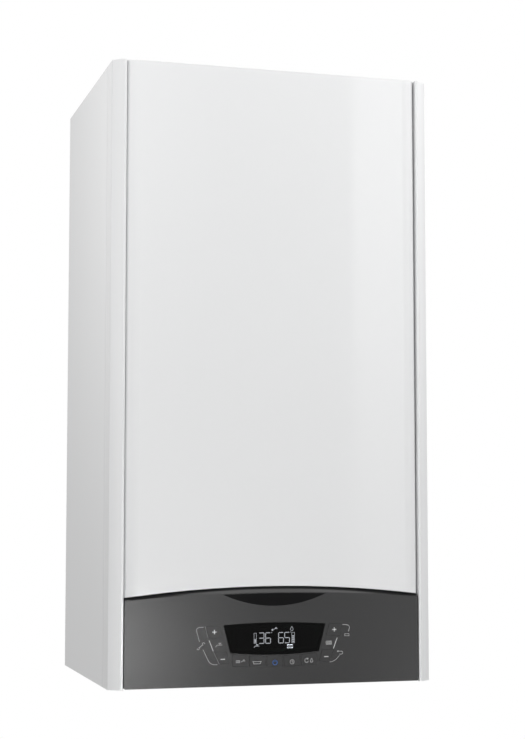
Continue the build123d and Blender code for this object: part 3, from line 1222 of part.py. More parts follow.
def pan_plan(sheet):
    """Level outline of the middle panel, drawn in by a sheet, with rolled upright edges."""
    half = panel_half - sheet
    turn = math.radians(ROLL_TURN)
    roll_depth = ROLL_WIDE * (1 - math.cos(turn)) + ROLL_TIGHT * math.cos(turn)
    with BuildSketch(at_height(0)) as plan:
        with BuildLine():
            flank = Line((-half, -flange_depth), (-half, roll_depth - face_depth))
            tight = JernArc(flank @ 1, (0, -1), ROLL_TIGHT - sheet, 90 - ROLL_TURN)
            wide = JernArc(tight @ 1, tight % 1, ROLL_WIDE - sheet, ROLL_TURN)
            Line(wide @ 1, (0, (wide @ 1).Y))
            mirror(about=Plane.YZ)
            Line((-half, -flange_depth), (half, -flange_depth))
        make_face()
    return plan.sketch


def pan_body(sheet):
    """Solid over the arch, as the middle panel's outside or, drawn in by a sheet, its inside."""
    rise = PANEL_GAP + sheet
    with BuildPart() as body:
        extrude(pan_plan(sheet), amount=CASE_HEIGHT - sheet)
        opening = arched_face(panel_half + GROOVE / 2, -SHEET, FASCIA_SIDE + rise, FASCIA_CROWN + rise)
        extrude(opening, amount=CASE_DEPTH + SHEET, mode=Mode.SUBTRACT)
    return body.part


pan_outside = pan_body(0.0)
pan_inside = pan_body(COVER_SHEET)
with BuildPart() as front_panel:
    add(pan_outside)
    add(pan_inside, mode=Mode.SUBTRACT)
    # flange all round, which presses the gasket and carries the pilasters
    with BuildSketch(at_depth(flange_depth)):
        pane((-cover_half, cover_half), (0, CASE_HEIGHT))
        inner_half = panel_half - COVER_SHEET
        pane_low = SILL_HEIGHT + FOLD
        with Locations((0, up((pane_low + CASE_HEIGHT - FOLD) / 2))):
            Rectangle(2 * inner_half, CASE_HEIGHT - FOLD - pane_low, mode=Mode.SUBTRACT)
        add(
            arched_face(
                panel_half + GROOVE / 2, -SHEET, FASCIA_SIDE + PANEL_GAP, FASCIA_CROWN + PANEL_GAP
            ),
            mode=Mode.SUBTRACT,
        )
        with Locations(*[(across, up(height)) for across, height in stud_places]):
            Circle(stud_hole, mode=Mode.SUBTRACT)
    extrude(amount=COVER_SHEET)
save("front_panel", front_panel.part)


def pilaster_face(side):
    """Level outline of a pilaster, with its back open between the two walls."""
    crest = HALF_WIDTH - PILASTER_CREST
    with BuildSketch(at_height(0)) as face:
        with BuildLine():
            Polyline(
                (side * (HALF_WIDTH - PILASTER_SHEET), -flange_front),
                (side * (HALF_WIDTH - PILASTER_SHEET), -(SEAM_DEPTH + SEAM_GAP)),
                (side * HALF_WIDTH, -(SEAM_DEPTH + SEAM_GAP)),
                (side * HALF_WIDTH, -PILASTER_EDGE),
            )
            ThreePointArc(
                (side * HALF_WIDTH, -PILASTER_EDGE),
                (side * (HALF_WIDTH + crest) / 2, -PILASTER_MIDDLE - SHEET),
                (side * crest, -CASE_DEPTH),
            )
            Polyline(
                (side * crest, -CASE_DEPTH),
                (side * pilaster_inner, -CASE_DEPTH),
                (side * pilaster_inner, -flange_front),
                (side * (HALF_WIDTH - PILASTER_SHEET), -flange_front),
            )
        make_face()
    return face.sketch


def pilaster_hollow(side):
    """Level outline of the space inside a pilaster."""
    crest = HALF_WIDTH - PILASTER_CREST
    outer = HALF_WIDTH - PILASTER_SHEET
    with BuildSketch(at_height(PILASTER_SHEET)) as face:
        with BuildLine():
            Line((side * outer, -(flange_front - SHEET)), (side * outer, -(PILASTER_EDGE - SHEET)))
            ThreePointArc(
                (side * outer, -(PILASTER_EDGE - SHEET)),
                (side * ((outer + crest) / 2), -(PILASTER_MIDDLE - SHEET)),
                (side * crest, -(CASE_DEPTH - PILASTER_SHEET)),
            )
            Polyline(
                (side * crest, -(CASE_DEPTH - PILASTER_SHEET)),
                (side * (pilaster_inner + PILASTER_SHEET), -(CASE_DEPTH - PILASTER_SHEET)),
                (side * (pilaster_inner + PILASTER_SHEET), -(flange_front - SHEET)),
                (side * outer, -(flange_front - SHEET)),
            )
        make_face()
    return face.sketch


for name, side in (("pilaster_left", -1), ("pilaster_right", 1)):
    with BuildPart() as pilaster:
        extrude(pilaster_face(side), amount=CASE_HEIGHT)
        uprights = pilaster.part.edges().filter_by(Axis.Z)
        fillet(uprights.filter_by_position(Axis.Y, -PILASTER_EDGE - SHEET, -PILASTER_EDGE + SHEET),
               PILASTER_ROUND)
        front_edge = pilaster.part.edges().filter_by(Axis.Z).group_by(Axis.Y)[0]
        inner_edge = front_edge.sort_by(lambda edge: abs(edge.center().X))[0]
        fillet(inner_edge, SHEET)
        extrude(
            pilaster_hollow(side),
            amount=CASE_HEIGHT - 2 * PILASTER_SHEET,
            mode=Mode.SUBTRACT,
        )
    save(name, pilaster.part)

with BuildPart() as cover_gasket:
    gasket_half = cover_half - SHEET
    gasket_low = SILL_HEIGHT + COVER_FLANGE_MARGIN
    gasket_high = CASE_HEIGHT - COVER_FLANGE_MARGIN
    with BuildSketch(at_depth(SEAM_DEPTH + COVER_SEAT)):
        pane((-gasket_half, gasket_half), (gasket_low, gasket_high))
        with Locations((0, up((gasket_low + gasket_high) / 2))):
            RectangleRounded(
                2 * (gasket_half - GASKET_WIDTH),
                gasket_high - gasket_low - 2 * GASKET_WIDTH,
                GASKET_WIDTH / 2,
                mode=Mode.SUBTRACT,
            )
        with Locations(*[(across, up(height)) for across, height in stud_places]):
            Circle(stud_hole, mode=Mode.SUBTRACT)
    extrude(amount=GASKET_THICKNESS)
save("cover_gasket", cover_gasket.part)

with BuildPart() as insulation_pad:
    pad_low = SILL_HEIGHT + COVER_SHEET + COVER_FLANGE_MARGIN
    pad_high = CASE_HEIGHT - PAD_MARGIN / 2
    with BuildSketch(at_depth(face_depth - COVER_SHEET)):
        with Locations((0, up((pad_low + pad_high) / 2))):
            RectangleRounded(2 * (panel_half - PAD_MARGIN), pad_high - pad_low, PAD_MARGIN / 2)
    extrude(amount=-PAD_THICKNESS)
save("insulation_pad", insulation_pad.part)

with BuildPart() as cover_clips:
    with BuildSketch(at_depth(flange_front)):
        with Locations(*[(across, up(height)) for across, height in stud_places]):
            RectangleRounded(CLIP_SIZE, CLIP_SIZE, CLIP_SIZE / 6)
            Circle(STUD_RADIUS + CLIP_BITE, mode=Mode.SUBTRACT)
    extrude(amount=CLIP_THICKNESS)
save("cover_clips", cover_clips.part)

# ================================================================ control panel
fascia_front = CASE_DEPTH - FASCIA_SETBACK
plate_back = fascia_front - FASCIA_PLATE
bevel_back = fascia_front - BEVEL_DEPTH
fascia_back = fascia_front - FASCIA_RETURN
fascia_half = panel_half
lip_front = plate_back - KEY_GAP
lip_back = lip_front - KEY_LIP_SHEET
key_front = fascia_front + KEY_PROUD
board_front = lip_back - KEY_TRAVEL - KEY_GAP / 2 - SWITCH_HEIGHT
window_back = fascia_front - WINDOW_SHEET
row_centres = [ROW_PITCH * step for step in (-2, -1, 0, 1, 2)]


def smile(gap):
    """Outline of the inlay under the bevel, drawn in by a gap all round."""
    with BuildSketch(Plane.XZ) as face:
        with BuildLine():
            ThreePointArc(
                (-INLAY_HALF + 3 * gap, up(INLAY_TOP_SIDE - gap)),
                (0, up(INLAY_TOP_MIDDLE - gap)),
                (INLAY_HALF - 3 * gap, up(INLAY_TOP_SIDE - gap)),
            )
            ThreePointArc(
                (INLAY_HALF - 3 * gap, up(INLAY_TOP_SIDE - gap)),
                (0, up(INLAY_LOW + gap)),
                (-INLAY_HALF + 3 * gap, up(INLAY_TOP_SIDE - gap)),
            )
        make_face()
    return face.sketch


def window_face(inset):
    """Outline of the display window, drawn in by an inset all round."""
    with BuildSketch(Plane.XZ) as face:
        with BuildLine():
            ThreePointArc(
                (-WINDOW_TOP_HALF + inset, up(WINDOW_TOP_SIDE - inset)),
                (0, up(WINDOW_TOP_MIDDLE - inset)),
                (WINDOW_TOP_HALF - inset, up(WINDOW_TOP_SIDE - inset)),
            )
            Line(
                (WINDOW_TOP_HALF - inset, up(WINDOW_TOP_SIDE - inset)),
                (WINDOW_LOW_HALF - inset, up(WINDOW_LOW_SIDE + inset)),
            )
            ThreePointArc(
                (WINDOW_LOW_HALF - inset, up(WINDOW_LOW_SIDE + inset)),
                (0, up(WINDOW_LOW_MIDDLE + inset)),
                (-WINDOW_LOW_HALF + inset, up(WINDOW_LOW_SIDE + inset)),
            )
            Line(
                (-WINDOW_LOW_HALF + inset, up(WINDOW_LOW_SIDE + inset)),
                (-WINDOW_TOP_HALF + inset, up(WINDOW_TOP_SIDE - inset)),
            )
        make_face()
        fillet(face.vertices(), KEY_ROUND)
    return face.sketch


def corner_key_face(corners, side, growth):
    """Outline of a four-sided key, grown by a margin all round."""
    with BuildSketch(Plane.XZ) as face:
        with BuildLine():
            Polyline(*[(side * across, up(height)) for across, height in corners], close=True)
        make_face()
        fillet(face.vertices(), KEY_ROUND)
        if growth:
            offset(amount=growth)
    return face.sketch


def row_key_face(centre, growth, growth_up):
    """Outline of a key in the lower row, whose top and foot follow the window's curve."""
    half = ROW_KEY_WIDTH / 2 + growth
    left, right = centre - half, centre + half

    def top(across):
        return up(ROW_TOP + growth_up + across**2 / (2 * ROW_TOP_RADIUS))

    def foot(across):
        return up(ROW_LOW - growth_up + across**2 / (2 * ROW_LOW_RADIUS))

    with BuildSketch(Plane.XZ) as face:
        with BuildLine():
            ThreePointArc((left, top(left)), (centre, top(centre)), (right, top(right)))
            Line((right, top(right)), (right, foot(right)))
            ThreePointArc((right, foot(right)), (centre, foot(centre)), (left, foot(left)))
            Line((left, foot(left)), (left, top(left)))
        make_face()
        fillet(face.vertices(), KEY_ROUND)
    return face.sketch


def key_solid(face, lip):
    """Key that stands in its opening, with a lip behind the fascia's plate."""
    with BuildPart() as key:
        with Locations((0, -lip_back, 0)):
            add(extrude(face, amount=key_front - lip_back, mode=Mode.PRIVATE))
            add(extrude(lip, amount=KEY_LIP_SHEET, mode=Mode.PRIVATE))
    return key.part


corner_keys = {
    "key_hot_water_plus": (PLUS_KEY, -1),
    "key_hot_water_minus": (MINUS_KEY, -1),
    "key_heating_plus": (PLUS_KEY, 1),
    "key_heating_minus": (MINUS_KEY, 1),
}
row_keys = dict(
    zip(("key_mode", "key_comfort", "key_power", "key_auto", "key_reset"), row_centres)
)

boss_places = [
    (side * (KEY_BOARD_HALF - 2 * BOSS_RADIUS), height)
    for side in (-1, 1)
    for height in (KEY_BOARD_LOW + 2 * BOSS_RADIUS, KEY_BOARD_HIGH - 2 * BOSS_RADIUS)
]
with BuildPart() as fascia:
    whole = arched_face(fascia_half, FASCIA_LOW, FASCIA_SIDE, FASCIA_CROWN, FASCIA_CORNER)
    crest = arched_face(
        fascia_half,
        FASCIA_LOW,
        FASCIA_SIDE - BEVEL_SIDE,
        FASCIA_CROWN - BEVEL_MIDDLE,
        FASCIA_CORNER,
    )
    extrude(Pos(0, -fascia_back, 0) * whole, amount=bevel_back - fascia_back)
    loft([Pos(0, -bevel_back, 0) * whole.face(), Pos(0, -fascia_front, 0) * crest.face()], ruled=True)
    cavity = arched_face(
        fascia_half - FASCIA_WALL,
        FASCIA_LOW + FASCIA_WALL,
        FASCIA_SIDE - BEVEL_SIDE - FASCIA_WALL,
        FASCIA_CROWN - BEVEL_MIDDLE - FASCIA_WALL,
    )
    extrude(Pos(0, -fascia_back, 0) * cavity, amount=plate_back - fascia_back, mode=Mode.SUBTRACT)
    # recess of the inlay, ledge and opening of the window
    extrude(Pos(0, -fascia_front, 0) * smile(0), amount=-INLAY_DEPTH, mode=Mode.SUBTRACT)
    extrude(Pos(0, -fascia_front, 0) * window_face(0), amount=-WINDOW_SHEET, mode=Mode.SUBTRACT)
    extrude(Pos(0, -fascia_front, 0) * window_face(WINDOW_LEDGE), amount=-2 * FASCIA_PLATE,
            mode=Mode.SUBTRACT)
    for corners, side in corner_keys.values():
        opening = corner_key_face(corners, side, KEY_GAP)
        extrude(Pos(0, -fascia_front, 0) * opening, amount=-2 * FASCIA_PLATE, mode=Mode.SUBTRACT)
    for centre in row_centres:
        opening = row_key_face(centre, KEY_GAP, KEY_GAP)
        extrude(Pos(0, -fascia_front, 0) * opening, amount=-2 * FASCIA_PLATE, mode=Mode.SUBTRACT)
    # posts for the key board and ribs for the control box
    for across, height in boss_places:
        barrel(across, height, (board_front, plate_back), BOSS_RADIUS)
    for side in (-1, 1):
        block((side * (BOX_HALF - BOX_WALL), side * BOX_HALF), (BOX_FRONT, plate_back),
              (BOX_LOW + BOX_WALL, BOX_HIGH - BOX_WALL))
save("fascia", fascia.part)

badge_inlay = extrude(Pos(0, -(fascia_front - INLAY_DEPTH), 0) * smile(INLAY_GAP), amount=INLAY_DEPTH)
save("badge_inlay", badge_inlay)

display_window = extrude(Pos(0, -window_back, 0) * window_face(INLAY_GAP), amount=WINDOW_SHEET)
save("display_window", display_window)

for name, (corners, side) in corner_keys.items():
    key = key_solid(corner_key_face(corners, side, 0), corner_key_face(corners, side, KEY_LIP))
    save(name, key)
for name, centre in row_keys.items():
    save(name, key_solid(row_key_face(centre, 0, 0), row_key_face(centre, 0, KEY_LIP)))

switch_places = [
    (side * sum(across for across, _ in corners) / 4, sum(height for _, height in corners) / 4)
    for corners, side in corner_keys.values()
]
switch_places += [(centre, (ROW_TOP + ROW_LOW) / 2) for centre in row_centres]
with BuildPart() as key_board:
    with BuildSketch(at_depth(board_front)):
        pane((-KEY_BOARD_HALF, KEY_BOARD_HALF), (KEY_BOARD_LOW, KEY_BOARD_HIGH))
    extrude(amount=-BOARD)
    with BuildSketch(at_depth(board_front)):
        with Locations(*[(across, up(height)) for across, height in switch_places]):
            Rectangle(SWITCH_SIZE, SWITCH_SIZE)
    extrude(amount=SWITCH_HEIGHT - BOARD)
    with BuildSketch(at_depth(board_front)):
        with Locations(*[(across, up(height)) for across, height in switch_places]):
            Circle(SWITCH_SIZE / 3)
    extrude(amount=SWITCH_HEIGHT)
    block((-DISPLAY_HALF, DISPLAY_HALF), (board_front, window_back - KEY_GAP), (DISPLAY_LOW, DISPLAY_HIGH))
save("key_board", key_board.part)

with BuildPart() as control_box:
    block((-BOX_HALF, BOX_HALF), (BOX_BACK, BOX_FRONT), (BOX_LOW, BOX_HIGH))
    fillet(control_box.part.edges().filter_by(Axis.X).group_by(Axis.Y)[-1], 2 * BOX_WALL)
    block_inner = BOX_HALF - BOX_WALL
    with BuildSketch(at_depth(BOX_BACK + BOX_WALL)):
        pane((-block_inner, block_inner), (BOX_LOW + BOX_WALL, BOX_HIGH - BOX_WALL))
    extrude(amount=BOX_FRONT - BOX_BACK, mode=Mode.SUBTRACT)
    with BuildSketch(at_height(BOX_HIGH)):
        with Locations((0, -(BOX_BACK + BOX_FRONT) / 2)):
            with GridLocations(VENT_PITCH, 1, VENT_SLOTS, 1):
                SlotOverall(BOX_FRONT - BOX_BACK - VENT_PITCH, VENT_PITCH / 4, rotation=90)
    extrude(amount=-BOX_WALL, mode=Mode.SUBTRACT)
    # trunnions of the swing-down hinge
    for side in (-1, 1):
        bar((side * BOX_HALF, side * (BOX_HALF + PIN_LENGTH)), HINGE_DEPTH, HINGE_HEIGHT, SHAFT_RADIUS)
        bar((side * BOX_HALF, side * (BOX_HALF + BOX_WALL)), HINGE_DEPTH, HINGE_HEIGHT, 2 * SHAFT_RADIUS)
save("control_box", control_box.part)

with BuildPart() as main_board:
    board_half = block_inner - BOARD_GAP
    board_low = BOX_LOW + BOX_WALL + BOARD_GAP
    board_high = BOX_HIGH - BOX_WALL - BOARD_GAP
    board_face = MAIN_BOARD_DEPTH + BOARD
    block((-board_half, board_half), (MAIN_BOARD_DEPTH, board_face), (board_low, board_high))
    board_middle = (board_low + board_high) / 2
    # transformer, relays, capacitors and the connector strip
    left = BOARD_MARGIN - board_half
    coil_low = board_middle - TRANSFORMER_HEIGHT / 2
    block((left, left + TRANSFORMER_WIDTH), (board_face, board_face + TRANSFORMER_RISE),
          (coil_low, coil_low + TRANSFORMER_HEIGHT))
    relay_high = board_high - BOARD_MARGIN / 2
    for relay in range(RELAY_COUNT):
        left = RELAY_PITCH * (relay - RELAY_COUNT / 2)
        block((left, left + RELAY_WIDTH), (board_face, board_face + RELAY_RISE),
              (relay_high - RELAY_HEIGHT, relay_high))
    for capacitor in range(CAPACITOR_COUNT):
        across = board_half - BOARD_MARGIN - CAPACITOR_PITCH * (capacitor + 1)
        barrel(across, board_middle + BOARD_MARGIN, (board_face, board_face + CAPACITOR_RISE),
               CAPACITOR_RADIUS)
    strip_right = board_half - BOARD_MARGIN
    strip_low = board_low + BOARD_MARGIN / 4
    block((strip_right - STRIP_LENGTH, strip_right), (board_face, board_face + STRIP_RISE),
          (strip_low, strip_low + STRIP_HEIGHT))
save("main_board", main_board.part)

with BuildPart() as hinge_arms:
    for side in (-1, 1):
        inner = side * ARM_ACROSS
        plate_front = SEAM_DEPTH - SHEET
        with BuildSketch(Plane.YZ.offset(inner)):
            with Locations((-HINGE_DEPTH, up(HINGE_HEIGHT))):
                Circle(ARM_BOSS)
            with Locations((-(plate_front + (ARM_BASE - 2 * ARM_SHEET) / 2), up((ARM_LOW + ARM_HIGH) / 2))):
                Rectangle(ARM_BASE, ARM_HIGH - ARM_LOW)
            make_hull()
            with Locations((-HINGE_DEPTH, up(HINGE_HEIGHT))):
                Circle(SHAFT_RADIUS + RUNNING_GAP, mode=Mode.SUBTRACT)
        extrude(amount=side * ARM_SHEET)
        block((inner, side * (INNER_HALF - 2 * SHEET)), (plate_front - ARM_SHEET, plate_front),
              (ARM_LOW, ARM_HIGH))
save("hinge_arms", hinge_arms.part)
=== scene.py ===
"""Looks of a wall-hung combi boiler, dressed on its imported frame.

The frame brings every rigid piece in metres, with +X to the right, +Y into the wall and +Z up.
This script gives each piece its finish, adds the printed marks and the lit display, and sets up
the studio and the camera. Layout sizes of the marks are in millimetres: across from the middle of
the panel, and up from the casing's underside.
"""

from __future__ import annotations

import json
import logging
import math
from collections.abc import Iterable
from dataclasses import dataclass, field
from enum import Enum

import bmesh
import bpy
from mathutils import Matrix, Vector

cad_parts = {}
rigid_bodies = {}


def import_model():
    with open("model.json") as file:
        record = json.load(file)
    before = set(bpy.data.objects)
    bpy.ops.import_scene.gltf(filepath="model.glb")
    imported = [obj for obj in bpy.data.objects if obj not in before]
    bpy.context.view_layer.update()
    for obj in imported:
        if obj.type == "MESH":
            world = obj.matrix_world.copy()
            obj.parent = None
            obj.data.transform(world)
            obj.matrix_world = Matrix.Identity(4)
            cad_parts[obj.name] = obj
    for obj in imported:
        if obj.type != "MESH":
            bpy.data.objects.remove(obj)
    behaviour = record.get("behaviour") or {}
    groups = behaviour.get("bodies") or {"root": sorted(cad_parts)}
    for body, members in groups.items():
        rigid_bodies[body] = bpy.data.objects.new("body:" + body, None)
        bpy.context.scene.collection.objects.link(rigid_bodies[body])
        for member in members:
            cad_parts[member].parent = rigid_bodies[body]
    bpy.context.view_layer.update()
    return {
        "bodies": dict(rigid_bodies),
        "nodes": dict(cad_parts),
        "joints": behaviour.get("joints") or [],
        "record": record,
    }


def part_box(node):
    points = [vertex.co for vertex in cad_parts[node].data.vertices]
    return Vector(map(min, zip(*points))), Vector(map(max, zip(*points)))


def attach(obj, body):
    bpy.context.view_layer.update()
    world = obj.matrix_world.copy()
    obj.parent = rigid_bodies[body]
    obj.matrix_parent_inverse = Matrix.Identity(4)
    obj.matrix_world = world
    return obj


LOG = logging.getLogger("boiler")
MILLIMETRE = 0.001

Colour = tuple[float, float, float]
Point = tuple[float, float]


class Slot(Enum):
    """Material slots of the record."""

    WHITE_ENAMEL = "white_enamel"
    WHITE_PLASTIC = "white_plastic"
    CHASSIS_STEEL = "chassis_steel"
    ZINC_STEEL = "zinc_steel"
    STAINLESS_STEEL = "stainless_steel"
    RED_ENAMEL = "red_enamel"
    MOTOR_ENAMEL = "motor_enamel"
    GREY_PLASTIC = "grey_plastic"
    BLACK_PLASTIC = "black_plastic"
    BOX_PLASTIC = "box_plastic"
    GRAPHITE_PLASTIC = "graphite_plastic"
    GLOSS_BLACK = "gloss_black"
    WINDOW_GLASS = "window_glass"
    BOARD_LAMINATE = "board_laminate"
    KEY_PLASTIC = "key_plastic"
    RED_PLASTIC = "red_plastic"
    BLUE_PLASTIC = "blue_plastic"
    CAST_ALUMINIUM = "cast_aluminium"
    COPPER_PIPE = "copper_pipe"
    GROUP_BRASS = "group_brass"
    BLACK_RUBBER = "black_rubber"
    PAD_FOAM = "pad_foam"
    CERAMIC_WHITE = "ceramic_white"


# ---------------------------------------------------------------- finishes
@dataclass(frozen=True)
class Grain:
    """Fine relief of a surface, as noise in object space.

    Args:
        pitch: Size of the relief along X, Y and Z, in metres.
        depth: Height of the relief, in metres.
        strength: Share of the relief that the shading shows.
    """

    pitch: tuple[float, float, float] = (0.001, 0.001, 0.001)
    depth: float = 0.00002
    strength: float = 0.3


@dataclass(frozen=True)
class Finish:
    """One surface finish, built as a node material.

    Args:
        colour: Linear base colour.
        roughness: Middle roughness.
        metallic: One for bare metal.
        roughness_spread: How far roughness wanders from its middle.
        mottle: Share by which the colour wanders.
        mottle_pitch: Size of the colour's patches, in metres.
        grain: Fine relief.
        coat: Weight of a clear gloss layer.
        coat_roughness: Roughness of that layer.
        specular: Specular level of the base.
    """

    colour: Colour
    roughness: float = 0.4
    metallic: float = 0.0
    roughness_spread: float = 0.04
    mottle: float = 0.03
    mottle_pitch: float = 0.04
    grain: Grain = field(default_factory=Grain)
    coat: float = 0.0
    coat_roughness: float = 0.05
    specular: float = 0.5

    def build(self, name: str) -> bpy.types.Material:
        """Make the material.

        Args:
            name: Name of the new material.

        Returns:
            The node material.
        """
        material = bpy.data.materials.new(name)
        material.use_nodes = True
        sketch = NodeSketch(material)
        shader = sketch.shader
        shader.inputs["Metallic"].default_value = self.metallic
        shader.inputs["Coat Weight"].default_value = self.coat
        shader.inputs["Coat Roughness"].default_value = self.coat_roughness
        shader.inputs["Specular IOR Level"].default_value = self.specular
        patches = sketch.noise((self.mottle_pitch,) * 3, detail=3.0)
        sketch.tint(patches, self.colour, self.mottle)
        sketch.spread(patches, shader.inputs["Roughness"], self.roughness, self.roughness_spread)
        sketch.relief(sketch.noise(self.grain.pitch, detail=4.0), self.grain)
        return material


class NodeSketch:
    """Small helper that wires procedural nodes to a material's main shader.

    Args:
        material: Material with nodes switched on.
    """

    def __init__(self, material: bpy.types.Material) -> None:
        self.tree = material.node_tree
        self.shader = self.tree.nodes["Principled BSDF"]
        self.place = self.tree.nodes.new("ShaderNodeTexCoord").outputs["Object"]

    def node(self, kind: str, **values: object) -> bpy.types.Node:
        """Add a node and set its plain properties.

        Args:
            kind: Node type.
            **values: Properties to set on it.

        Returns:
            The node.
        """
        made = self.tree.nodes.new(kind)
        for key, value in values.items():
            setattr(made, key, value)
        return made

    def link(self, source: bpy.types.NodeSocket, target: bpy.types.NodeSocket) -> None:
        """Join a source socket to a target socket."""
        self.tree.links.new(source, target)

    def stretched(self, pitch: tuple[float, float, float]) -> bpy.types.NodeSocket:
        """Object coordinates divided by a pitch along each axis.

        Args:
            pitch: Length that becomes one, along X, Y and Z, in metres.

        Returns:
            Socket of the coordinates.
        """
        mapping = self.node("ShaderNodeMapping")
        mapping.inputs["Scale"].default_value = [1.0 / size for size in pitch]
        self.link(self.place, mapping.inputs["Vector"])
        return mapping.outputs["Vector"]

    def noise(self, pitch: tuple[float, float, float], detail: float) -> bpy.types.NodeSocket:
        """Noise between 0 and 1.

        Args:
            pitch: Size of its patches along X, Y and Z, in metres.
            detail: Number of finer octaves.

        Returns:
            Socket of the noise.
        """
        noise = self.node("ShaderNodeTexNoise")
        noise.inputs["Scale"].default_value = 1.0
        noise.inputs["Detail"].default_value = detail
        self.link(self.stretched(pitch), noise.inputs["Vector"])
        return noise.outputs["Fac"]

    def cells(self, pitch: float, feature: str = "F1") -> bpy.types.NodeSocket:
        """Distance pattern of rounded cells.

        Args:
            pitch: Size of the cells, in metres.
            feature: What the distance is measured to.

        Returns:
            Socket of the distance.
        """
        cells = self.node("ShaderNodeTexVoronoi", feature=feature)
        cells.inputs["Scale"].default_value = 1.0
        self.link(self.stretched((pitch,) * 3), cells.inputs["Vector"])
        return cells.outputs["Distance"]

    def mixed(
        self, factor: bpy.types.NodeSocket, first: Colour, second: Colour
    ) -> bpy.types.NodeSocket:
        """Colour between two colours.

        Args:
            factor: Socket that goes from 0 to 1.
            first: Colour at 0.
            second: Colour at 1.

        Returns:
            Socket of the colour.
        """
        mix = self.node("ShaderNodeMix", data_type="RGBA")
        mix.inputs["A"].default_value = (*first, 1.0)
        mix.inputs["B"].default_value = (*second, 1.0)
        self.link(factor, mix.inputs["Factor"])
        return mix.outputs["Result"]

    def tint(self, factor: bpy.types.NodeSocket, colour: Colour, amount: float) -> None:
        """Let the base colour wander about a colour.

        Args:
            factor: Socket that goes from 0 to 1.
            colour: Middle colour.
            amount: Share of it by which the colour wanders.
        """
        dark = tuple(max(0.0, part * (1.0 - amount)) for part in colour)
        light = tuple(min(1.0, part * (1.0 + amount)) for part in colour)
        self.link(self.mixed(factor, dark, light), self.shader.inputs["Base Color"])

    def spread(
        self,
        factor: bpy.types.NodeSocket,
        target: bpy.types.NodeSocket,
        middle: float,
        amount: float,
    ) -> None:
        """Drive a value about its middle.

        Args:
            factor: Socket that goes from 0 to 1.
            target: Socket that is driven.
            middle: Its middle value.
            amount: How far it wanders from the middle.
        """
        ranged = self.node("ShaderNodeMapRange")
        ranged.inputs["To Min"].default_value = max(0.0, middle - amount)
        ranged.inputs["To Max"].default_value = min(1.0, middle + amount)
        self.link(factor, ranged.inputs["Value"])
        self.link(ranged.outputs["Result"], target)

    def relief(self, height: bpy.types.NodeSocket, grain: Grain) -> None:
        """Bend the shading normal by a height pattern.

        Args:
            height: Socket of the pattern.
            grain: Depth and strength of the relief.
        """
        bump = self.node("ShaderNodeBump")
        bump.inputs["Strength"].default_value = grain.strength
        bump.inputs["Distance"].default_value = grain.depth
        self.link(height, bump.inputs["Height"])
        self.link(bump.outputs["Normal"], self.shader.inputs["Normal"])


@dataclass(frozen=True)
class SmokedWindow(Finish):
    """Clear sheet with a dark tint, whose face is treated against glare.

    Args:
        bend: Refractive index, low since the treated face mirrors little.
    """

    bend: float = 1.22

    def build(self, name: str) -> bpy.types.Material:
        """Make the tinted clear material.

        Args:
            name: Name of the new material.

        Returns:
            The node material.
        """
        material = super().build(name)
        shader = material.node_tree.nodes["Principled BSDF"]
        shader.inputs["Transmission Weight"].default_value = 1.0
        shader.inputs["IOR"].default_value = self.bend
        return material


@dataclass(frozen=True)
class CircuitBoard(Finish):
    """Solder-masked laminate with paler copper tracks.

    Args:
        track: Colour of the tracks under the mask.
        track_pitch: Size of the fields between the tracks, in metres.
        track_edges: Distances from a field's edge where a track ends and the laminate begins,
            as shares of the pitch.
    """

    track: Colour = (0.12, 0.34, 0.18)
    track_pitch: float = 0.006
    track_edges: tuple[float, float] = (0.04, 0.09)

    def build(self, name: str) -> bpy.types.Material:
        """Make the board material with its tracks.

        Args:
            name: Name of the new material.

        Returns:
            The node material.
        """
        material = super().build(name)
        sketch = NodeSketch(material)
        edges = sketch.cells(self.track_pitch, feature="DISTANCE_TO_EDGE")
        ramp = sketch.node("ShaderNodeValToRGB")
        stops = zip(ramp.color_ramp.elements, self.track_edges, (self.track, self.colour))
        for stop, place, colour in stops:
            stop.position = place
            stop.color = (*colour, 1.0)
        sketch.link(edges, ramp.inputs["Fac"])
        sketch.link(ramp.outputs["Color"], sketch.shader.inputs["Base Color"])
        return material


@dataclass(frozen=True)
class QuiltedFoam(Finish):
    """Foam pad whose face is embossed in cells.

    Args:
        cell_pitch: Size of the cells, in metres.
    """

    cell_pitch: float = 0.012

    def build(self, name: str) -> bpy.types.Material:
        """Make the foam material with its embossing.

        Args:
            name: Name of the new material.

        Returns:
            The node material.
        """
        material = super().build(name)
        sketch = NodeSketch(material)
        sketch.relief(sketch.cells(self.cell_pitch), self.grain)
        return material


ORANGE_PEEL = Grain((0.0022, 0.0022, 0.0022), 0.000006, 0.12)
MOULDED = Grain((0.0004, 0.0004, 0.0004), 0.00002, 0.25)
AS_CAST = Grain((0.0011, 0.0011, 0.0011), 0.00008, 0.55)
DRAWN = Grain((0.0006, 0.0006, 0.006), 0.00001, 0.3)
ROLLED = Grain((0.03, 0.0006, 0.0006), 0.00001, 0.35)

